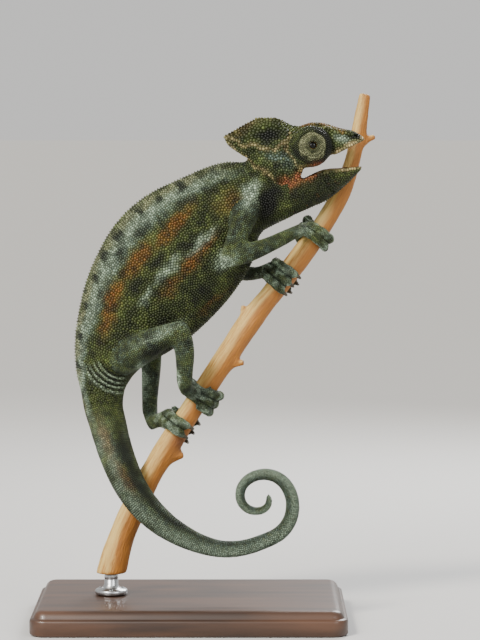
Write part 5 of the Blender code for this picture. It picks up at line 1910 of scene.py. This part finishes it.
@dataclass
class Tongue:
    """The tongue at rest: a low wet pad on the floor of the mouth, with a cupped tip."""

    tree: BVHTree
    start: float = 46.4
    end: float = 57.6
    wide: float = 2.5
    thick: float = 1.0

    def build(self, material: bpy.types.Material) -> bpy.types.Object:
        """Lays the tongue on the jaw's floor."""
        bm = bmesh.new()
        stations = []
        count = 18
        for k in range(count):
            share = k / (count - 1)
            x = self.start + (self.end - self.start) * share
            hit = self.tree.ray_cast(Vector((x, 0.0, 165.4)), Vector((0.0, 0.0, -1.0)), 9.0)[0]
            floor = hit.z if hit is not None else 160.0
            full = math.sin(math.pi * min(1.0, 0.12 + share * 0.88)) ** 0.42 if share < 1 else 0.2
            radius = self.wide * max(full, 0.25) * (0.82 + 0.18 * smooth_step(0.5, 0.85, np.array(share)))
            stations.append((x, 0.0, floor, float(radius)))
        smooth = [stations[0]]
        for k in range(1, count - 1):
            z = (stations[k - 1][2] + stations[k][2] + stations[k + 1][2]) / 3
            smooth.append((stations[k][0], 0.0, z, stations[k][3]))
        smooth.append(stations[-1])
        made = tube_rings(bm, smooth, 22)
        for vert in made:
            k = min(range(count), key=lambda n: abs(smooth[n][0] - vert.co.x))
            rise = (vert.co.z - smooth[k][2]) / self.wide * self.thick
            groove = 0.28 * math.exp(-((vert.co.y / 0.5) ** 2)) if rise > 0 else 0.0
            dimple = 0.4 * math.exp(-(((vert.co.x - self.end + 2.6) / 1.5) ** 2 + (vert.co.y / 1.5) ** 2)) if rise > 0 else 0.0
            vert.co.z = smooth[k][2] + rise - groove - dimple
        return bmesh_object("tongue_pad", bm, material)


@dataclass
class Bough:
    """The cut length of branch with its bark."""

    node: bpy.types.Object
    voxel: float = 0.5
    fibre_depth: float = 0.11
    knots: tuple[tuple[float, float, float], ...] = ((-3.4, 64.6, 2.6), (23.6, 99.2, 1.9), (58.0, 171.6, 2.0))

    def build(self, material: bpy.types.Material) -> bpy.types.Object:
        """Rounds the solid's facets, carves the bark in it and stores what the finish reads."""
        bm = bmesh.new()
        bm.from_mesh(self.node.data)
        bmesh.ops.remove_doubles(bm, verts=bm.verts, dist=1e-7)
        crease = bm.edges.layers.float.new("crease_edge")
        for edge in bm.edges:
            if edge.is_manifold and edge.calc_face_angle() > math.radians(52):
                edge[crease] = 1.0
        mesh = bpy.data.meshes.new("bark_branch")
        bm.to_mesh(mesh)
        bm.free()
        obj = mesh_object("bark_branch", mesh, material)
        rounded = obj.modifiers.new("Round", "SUBSURF")
        rounded.levels = rounded.render_levels = 2
        whole = obj.modifiers.new("Even", "REMESH")
        whole.mode = "VOXEL"
        whole.voxel_size = self.voxel * MM
        apply_modifiers(obj)
        surface = Surface(obj.data)
        surface.relax(6, 1.0, keep=0.0)
        surface.move(0.1)
        points, normals = surface.points, surface.normals()
        place, way, reach = self.bark_places(points)
        cut = smooth_step(0.8, 0.93, np.abs((normals * way).sum(1)))
        cut *= (points[:, 2] < 18.2) | (points[:, 2] > 188.0) | (reach > 5.4)
        drawn = place * (1, 1, 0.1)
        fibres = noise_at(drawn, 0.42, 3.0) + 0.6 * noise_at(drawn, 0.95, 9.0)
        lumps = noise_at(place * (1, 1, 0.4), 5.0, 17.0)
        knot = np.zeros(len(points))
        for x, z, size in self.knots:
            gap = np.hypot(points[:, 0] - x, points[:, 2] - z)
            knot = np.maximum(knot, np.exp(-((gap / size) ** 2)))
            whorl = 0.1 * np.cos(gap * math.tau / 0.7) * np.exp(-((gap / (size * 1.4)) ** 2))
            fibres = np.where(gap < size * 2, fibres * 0.4, fibres)
            lumps += 1.6 * np.exp(-((gap / size) ** 2)) + whorl * 6
        shift = (self.fibre_depth * fibres + 0.16 * lumps - 0.1) * (1 - cut)
        surface.points += normals * shift[:, None]
        surface.write(obj.data)
        # painted light and shade: the side facing the key light from the upper left turns cream
        lit = normals @ np.array((-0.78, -0.12, 0.5)) + 0.34 * noise_at(drawn, 1.8, 30.0)
        # the first share is the painted light; then the knots, the distance from the middle and the cut ends
        tones = np.stack([smooth_step(-0.1, 0.8, lit), knot**0.7 * 0.9, np.clip(reach / 6, 0, 1), cut], 1)
        for name, kind, field_name, values in (
            ("bark_place", "FLOAT_VECTOR", "vector", place),
            ("bark_tones", "FLOAT_COLOR", "color", tones),
        ):
            layer = obj.data.attributes.new(name, kind, "POINT")
            layer.data.foreach_set(field_name, np.ascontiguousarray(values, np.float32).ravel())
        log.info("bark: %d faces", len(obj.data.polygons))
        return obj

    @staticmethod
    def bark_places(points: np.ndarray) -> tuple[np.ndarray, np.ndarray, np.ndarray]:
        """Unbends the branch.

        Args:
            points: places on its bark.

        Returns:
            Each place as if the branch were straight and upright, the branch's way there,
            and the distance from its middle, in millimetres.
        """
        line = np.array([curve_at(PERCH, k / 90)[:3] for k in range(91)])
        spans = np.linalg.norm(np.diff(line, axis=0), axis=1)
        length = spans.sum()
        gap, share = near_line(points, [tuple(p) for p in line])
        passed = np.concatenate([[0], np.cumsum(spans)]) / length
        centre = np.stack([np.interp(share, passed, line[:, k]) for k in range(3)], 1)
        ways = np.gradient(line, axis=0)
        ways /= np.linalg.norm(ways, axis=1, keepdims=True)
        way = np.stack([np.interp(share, passed, ways[:, k]) for k in range(3)], 1)
        side = np.array((0.0, 1.0, 0.0)) - way * way[:, 1:2]
        side /= np.linalg.norm(side, axis=1, keepdims=True)
        up = np.cross(way, side)
        local = points - centre
        return np.stack([(local * side).sum(1), (local * up).sum(1), share * length], 1), way, gap


@dataclass
class DisplayStand:
    """The slab with a moulded edge, and the turned steel rod with its collar and set screw."""

    size: tuple[float, float, float] = (112.0, 78.0, 9.0)
    corner: float = 6.0
    corner_steps: int = 12
    moulding: tuple[tuple[float, float], ...] = (  # distance in from the edge, height
        (1.2, 0.0),
        (0.5, 0.25),
        (0.0, 0.9),
        (0.0, 5.2),
        (0.18, 5.7),
        (0.6, 6.0),
        (1.1, 6.1),
        (1.35, 6.3),
        (1.6, 7.0),
        (2.1, 7.9),
        (2.9, 8.6),
        (3.9, 8.95),
        (4.6, 9.0),
    )
    foot_x: float = -28.6
    rod: tuple[tuple[float, float], ...] = (  # radius, height
        (0.0, 9.3),
        (5.5, 9.3),
        (5.85, 9.6),
        (5.85, 10.7),
        (5.5, 11.1),
        (3.6, 11.35),
        (3.1, 11.75),
        (2.75, 12.4),
        (2.5, 12.7),
        (2.5, 14.6),
        (2.35, 14.75),
        (2.5, 14.9),
        (2.5, 16.5),
        (2.35, 16.7),
        (0.0, 16.7),
    )

    def outline(self, inset: float) -> list[tuple[float, float]]:
        """The corners of the slab's rounded outline, drawn in by a distance."""
        half_x, half_y = self.size[0] / 2 - inset, self.size[1] / 2 - inset
        radius = max(self.corner - inset, 0.6)
        found = []
        for quarter, (sx, sy) in enumerate(((1, 1), (-1, 1), (-1, -1), (1, -1))):
            for k in range(self.corner_steps + 1):
                turn = math.radians(90 * quarter + 90 * k / self.corner_steps)
                found.append(
                    (sx * (half_x - radius) + radius * math.cos(turn), sy * (half_y - radius) + radius * math.sin(turn))
                )
        return found

    def build_base(self, material: bpy.types.Material) -> bpy.types.Object:
        """Makes the slab, ring by ring up its moulding."""
        bm = bmesh.new()
        edges: list[bmesh.types.BMEdge] = []
        order: list[bmesh.types.BMVert] = []
        for k, (inset, height) in enumerate(self.moulding):
            corners = self.outline(inset)
            if k == 0:
                order = bmesh.ops.create_circle(bm, cap_ends=True, segments=len(corners), radius=1.0)["verts"]
                edges = list({e for v in order for e in v.link_edges})
            else:
                grown = bmesh.ops.extrude_edge_only(bm, edges=edges)["geom"]
                ring = {g for g in grown if isinstance(g, bmesh.types.BMVert)}
                edges = [g for g in grown if isinstance(g, bmesh.types.BMEdge) and set(g.verts) <= ring]
                order = [next(e.other_vert(v) for e in v.link_edges if e.other_vert(v) in ring) for v in order]
            for vert, (x, y) in zip(order, corners, strict=True):
                vert.co = (x, y, height)
        bmesh.ops.contextual_create(bm, geom=edges)
        bmesh.ops.recalc_face_normals(bm, faces=bm.faces)
        obj = bmesh_object("base_slab", bm, material)
        obj.data.shade_auto_smooth(angle=math.radians(30)) if hasattr(obj.data, "shade_auto_smooth") else None
        return obj

    def build_rod(self, material: bpy.types.Material) -> bpy.types.Object:
        """Turns the rod and its collar, and sets a small screw in the collar's flange."""
        bm = bmesh.new()
        verts = [bm.verts.new((self.foot_x + r, 0.0, z)) for r, z in self.rod]
        edges = [bm.edges.new(pair) for pair in zip(verts, verts[1:])]
        bmesh.ops.spin(
            bm, geom=verts + edges, cent=(self.foot_x, 0.0, 0.0), axis=(0, 0, 1), angle=math.tau, steps=64, use_merge=True
        )
        bmesh.ops.remove_doubles(bm, verts=bm.verts, dist=1e-4)
        bmesh.ops.recalc_face_normals(bm, faces=bm.faces)
        for k in range(3):
            turn = math.radians(-90 + 120 * k)
            place = (self.foot_x + 4.55 * math.cos(turn), 4.55 * math.sin(turn), 11.2)
            head = bmesh.ops.create_cone(
                bm, cap_ends=True, segments=20, radius1=0.75, radius2=0.62, depth=0.5, matrix=Matrix.Translation(place)
            )["verts"]
            top = max((f for v in head for f in v.link_faces), key=lambda f: f.calc_center_median().z)
            socket = bmesh.ops.inset_region(bm, faces=[top], thickness=0.3)
            del socket
            bmesh.ops.translate(bm, vec=(0, 0, -0.25), verts=list(top.verts))
        return bmesh_object("steel_rod", bm, material)


# ---------------------------------------------------------------- the studio


@dataclass(frozen=True)
class Studio:
    """The pale floor, the light and the camera."""

    floor_colour: str = "#c1c1c0"
    sky_colour: str = "#f4f3f1"
    sky_strength: float = 0.82
    frame_height: float = 230.4  # height of what the camera sees at the model
    aim: Point = (18.0, 0.0, 108.7)
    lens: float = 110.0
    sensor: float = 24.0
    rise: float = 4.0  # degrees that the camera looks down

    def build(self) -> None:
        """Makes the floor, the lights and the camera."""
        self.build_floor()
        self.build_sky()
        self.build_sun("key_sun", (-0.52, -0.62, 0.78), 3.2, 12.0, "#fff6e8")
        self.build_panel("soft_box", (-330, -520, 420), 300, 4.0)
        self.build_panel("fill_box", (430, -540, 380), 260, 2.0)
        self.build_panel("rim_box", (240, 480, 420), 260, 4.2)
        self.build_camera()

    def build_floor(self) -> None:
        """A wide sheet of matt paper on which the stand is set."""
        bm = bmesh.new()
        bmesh.ops.create_grid(bm, x_segments=1, y_segments=1, size=20000)
        paper = GlossFinish("studio_paper", (self.floor_colour, self.floor_colour), 40.0, 0.9)
        floor = bmesh_object("floor", bm, paper.build())

    def build_sky(self) -> None:
        """An even soft light from all round."""
        world = bpy.data.worlds.new("studio")
        bpy.context.scene.world = world
        world.use_nodes = True
        backdrop = world.node_tree.nodes["Background"]
        backdrop.inputs["Color"].default_value = linear(self.sky_colour)
        backdrop.inputs["Strength"].default_value = self.sky_strength

    @staticmethod
    def build_sun(name: str, way: Point, power: float, spread: float, colour: str) -> None:
        """A distant lamp.

        Args:
            name: the lamp's name.
            way: the direction towards it.
            power: its strength.
            spread: its width in degrees, which softens the shadows.
            colour: its colour.
        """
        data = bpy.data.lights.new(name, "SUN")
        data.energy, data.angle, data.color = power, math.radians(spread), linear(colour)[:3]
        obj = bpy.data.objects.new(name, data)
        bpy.context.scene.collection.objects.link(obj)
        obj.rotation_euler = Vector(way).to_track_quat("Z", "Y").to_euler()

    def build_panel(self, name: str, place: Point, size: float, power: float) -> None:
        """A square light panel that faces the model."""
        data = bpy.data.lights.new(name, "AREA")
        data.size, data.energy = size * MM, power
        obj = bpy.data.objects.new(name, data)
        bpy.context.scene.collection.objects.link(obj)
        obj.location = Vector(place) * MM
        obj.rotation_euler = (Vector(self.aim) - Vector(place)).to_track_quat("-Z", "Y").to_euler()

    def build_camera(self) -> None:
        """The camera, a little above level and well above the floor."""
        data = bpy.data.cameras.new("camera")
        data.sensor_fit, data.sensor_height, data.lens = "VERTICAL", self.sensor, self.lens
        data.clip_start, data.clip_end = 0.05, 60.0
        camera = bpy.data.objects.new("camera", data)
        bpy.context.scene.collection.objects.link(camera)
        away = self.frame_height * self.lens / self.sensor
        tilt = math.radians(self.rise)
        camera.location = (Vector(self.aim) + Vector((0, -math.cos(tilt), math.sin(tilt))) * away) * MM
        camera.rotation_euler = (math.pi / 2 - tilt, 0, 0)
        bpy.context.scene.camera = camera


# ---------------------------------------------------------------- the whole


@dataclass
class Chameleon:
    """Builds the animal's pieces and ties each to the frame."""

    nodes: dict[str, bpy.types.Object]

    def build(self) -> None:
        """Makes the skin, the scales, the eyes, the claws and the tongue."""
        hide = Hide(self.nodes)
        skin = hide.build()
        surface = hide.surface
        tree = BVHTree.FromPolygons(surface.points.tolist(), surface.faces.tolist())
        lining = hide.lining(surface.points, surface.normals(), hide.parts, tree)
        log.info("skin: %d triangles", len(surface.faces))
        marks = MarksAndShading(hide.map.names)
        first, second = marks.read(surface.points, hide.parts, lining)
        unwrap = Unwrap(skin)
        write_attributes(skin.data, surface.points * MM, first, second, np.full(len(first), 0.4))
        # the skin between the scales at 0.42 of their brightness: darker skin and painted shade in the seams
        skin.data.materials.append(HideFinish("hide_between_scales", 0.42, gloss=0.08, roughness=(0.75, 0.9)).build())
        self.tie(skin, "scaly_skin", *FLESH)
        scale_finish = HideFinish("hide_scales", 1.0).build()
        for piece in Coat(hide).build(marks, unwrap, scale_finish):
            self.tie(piece, "scaly_skin")
        self.add_eyes()
        self.add_claws()
        wet_flesh = GlossFinish("wet_flesh", ("#7d3830", "#9c5045"), 1.2, 0.42, 0.25, grain=0.05, gloss=0.35)
        self.tie(Tongue(tree).build(wet_flesh.build()), "tongue", "tongue")

    @staticmethod
    def tie(piece: bpy.types.Object, slot: str, *replaced: str) -> None:
        """Ties a piece to the frame, in the place of solids, which it hides."""
        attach(piece, BODY)
        if replaced:
            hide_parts(*replaced)

    def add_eyes(self) -> None:
        """Adds both eyeballs."""
        finishes = [
            GlossFinish("eye_ball", ("#2c261d", "#3d3427"), 0.5, 0.3, 0.5, gloss=0.1).build(),
            GlossFinish("eye_iris", ("#4a3312", "#8f6a2a"), 0.22, 0.3, 0.5, grain=0.02, gloss=0.1).build(),
            GlossFinish("eye_pupil", ("#050504", "#080807"), 1.0, 0.1, 0.45, gloss=0.0).build(),
        ]
        for side in Side:
            self.tie(Eye(side).build(finishes), "eye", f"{side.name.lower()}_eye")

    def add_claws(self) -> None:
        """Adds the claws of each hand and foot."""
        horn = GlossFinish("claw_horn", ("#1f1c15", "#4c4434"), 0.9, 0.5, stretch=(1.0, 1.0, 0.4), grain=0.03, gloss=0.3).build()
        for grip in GRIPS:
            bm = bmesh.new()
            grip.add_claws(bm)
            self.tie(bmesh_object(f"{grip.name}_claws", bm, horn), "foot_skin")


def add_stand(nodes: dict[str, bpy.types.Object]) -> None:
    """Adds the branch, the base and the rod."""
    Chameleon.tie(Bough(nodes["perch_branch"]).build(BarkFinish().build()), "branch_wood", "perch_branch")
    stand = DisplayStand()
    walnut = GlossFinish(
        "oiled_walnut", ("#2c1c12", "#4e3322"), 7.0, 0.42, 0.12, stretch=(0.12, 1.0, 1.0), grain=0.1
    )
    steel = GlossFinish(
        "brushed_steel", ("#a9abad", "#c2c4c6"), 0.5, 0.3, stretch=(1.0, 1.0, 0.05), grain=0.01, metallic=1.0
    )
    Chameleon.tie(stand.build_base(walnut.build()), "base_wood", "stand_base")
    Chameleon.tie(stand.build_rod(steel.build()), "rod_steel", "stand_rod")


def main() -> None:
    """Builds the scene."""
    logging.basicConfig(level=logging.INFO, format="%(asctime)s %(message)s")
    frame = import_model()
    Chameleon(frame["nodes"]).build()
    add_stand(frame["nodes"])
    Studio().build()


if __name__ == "__main__":
    main()
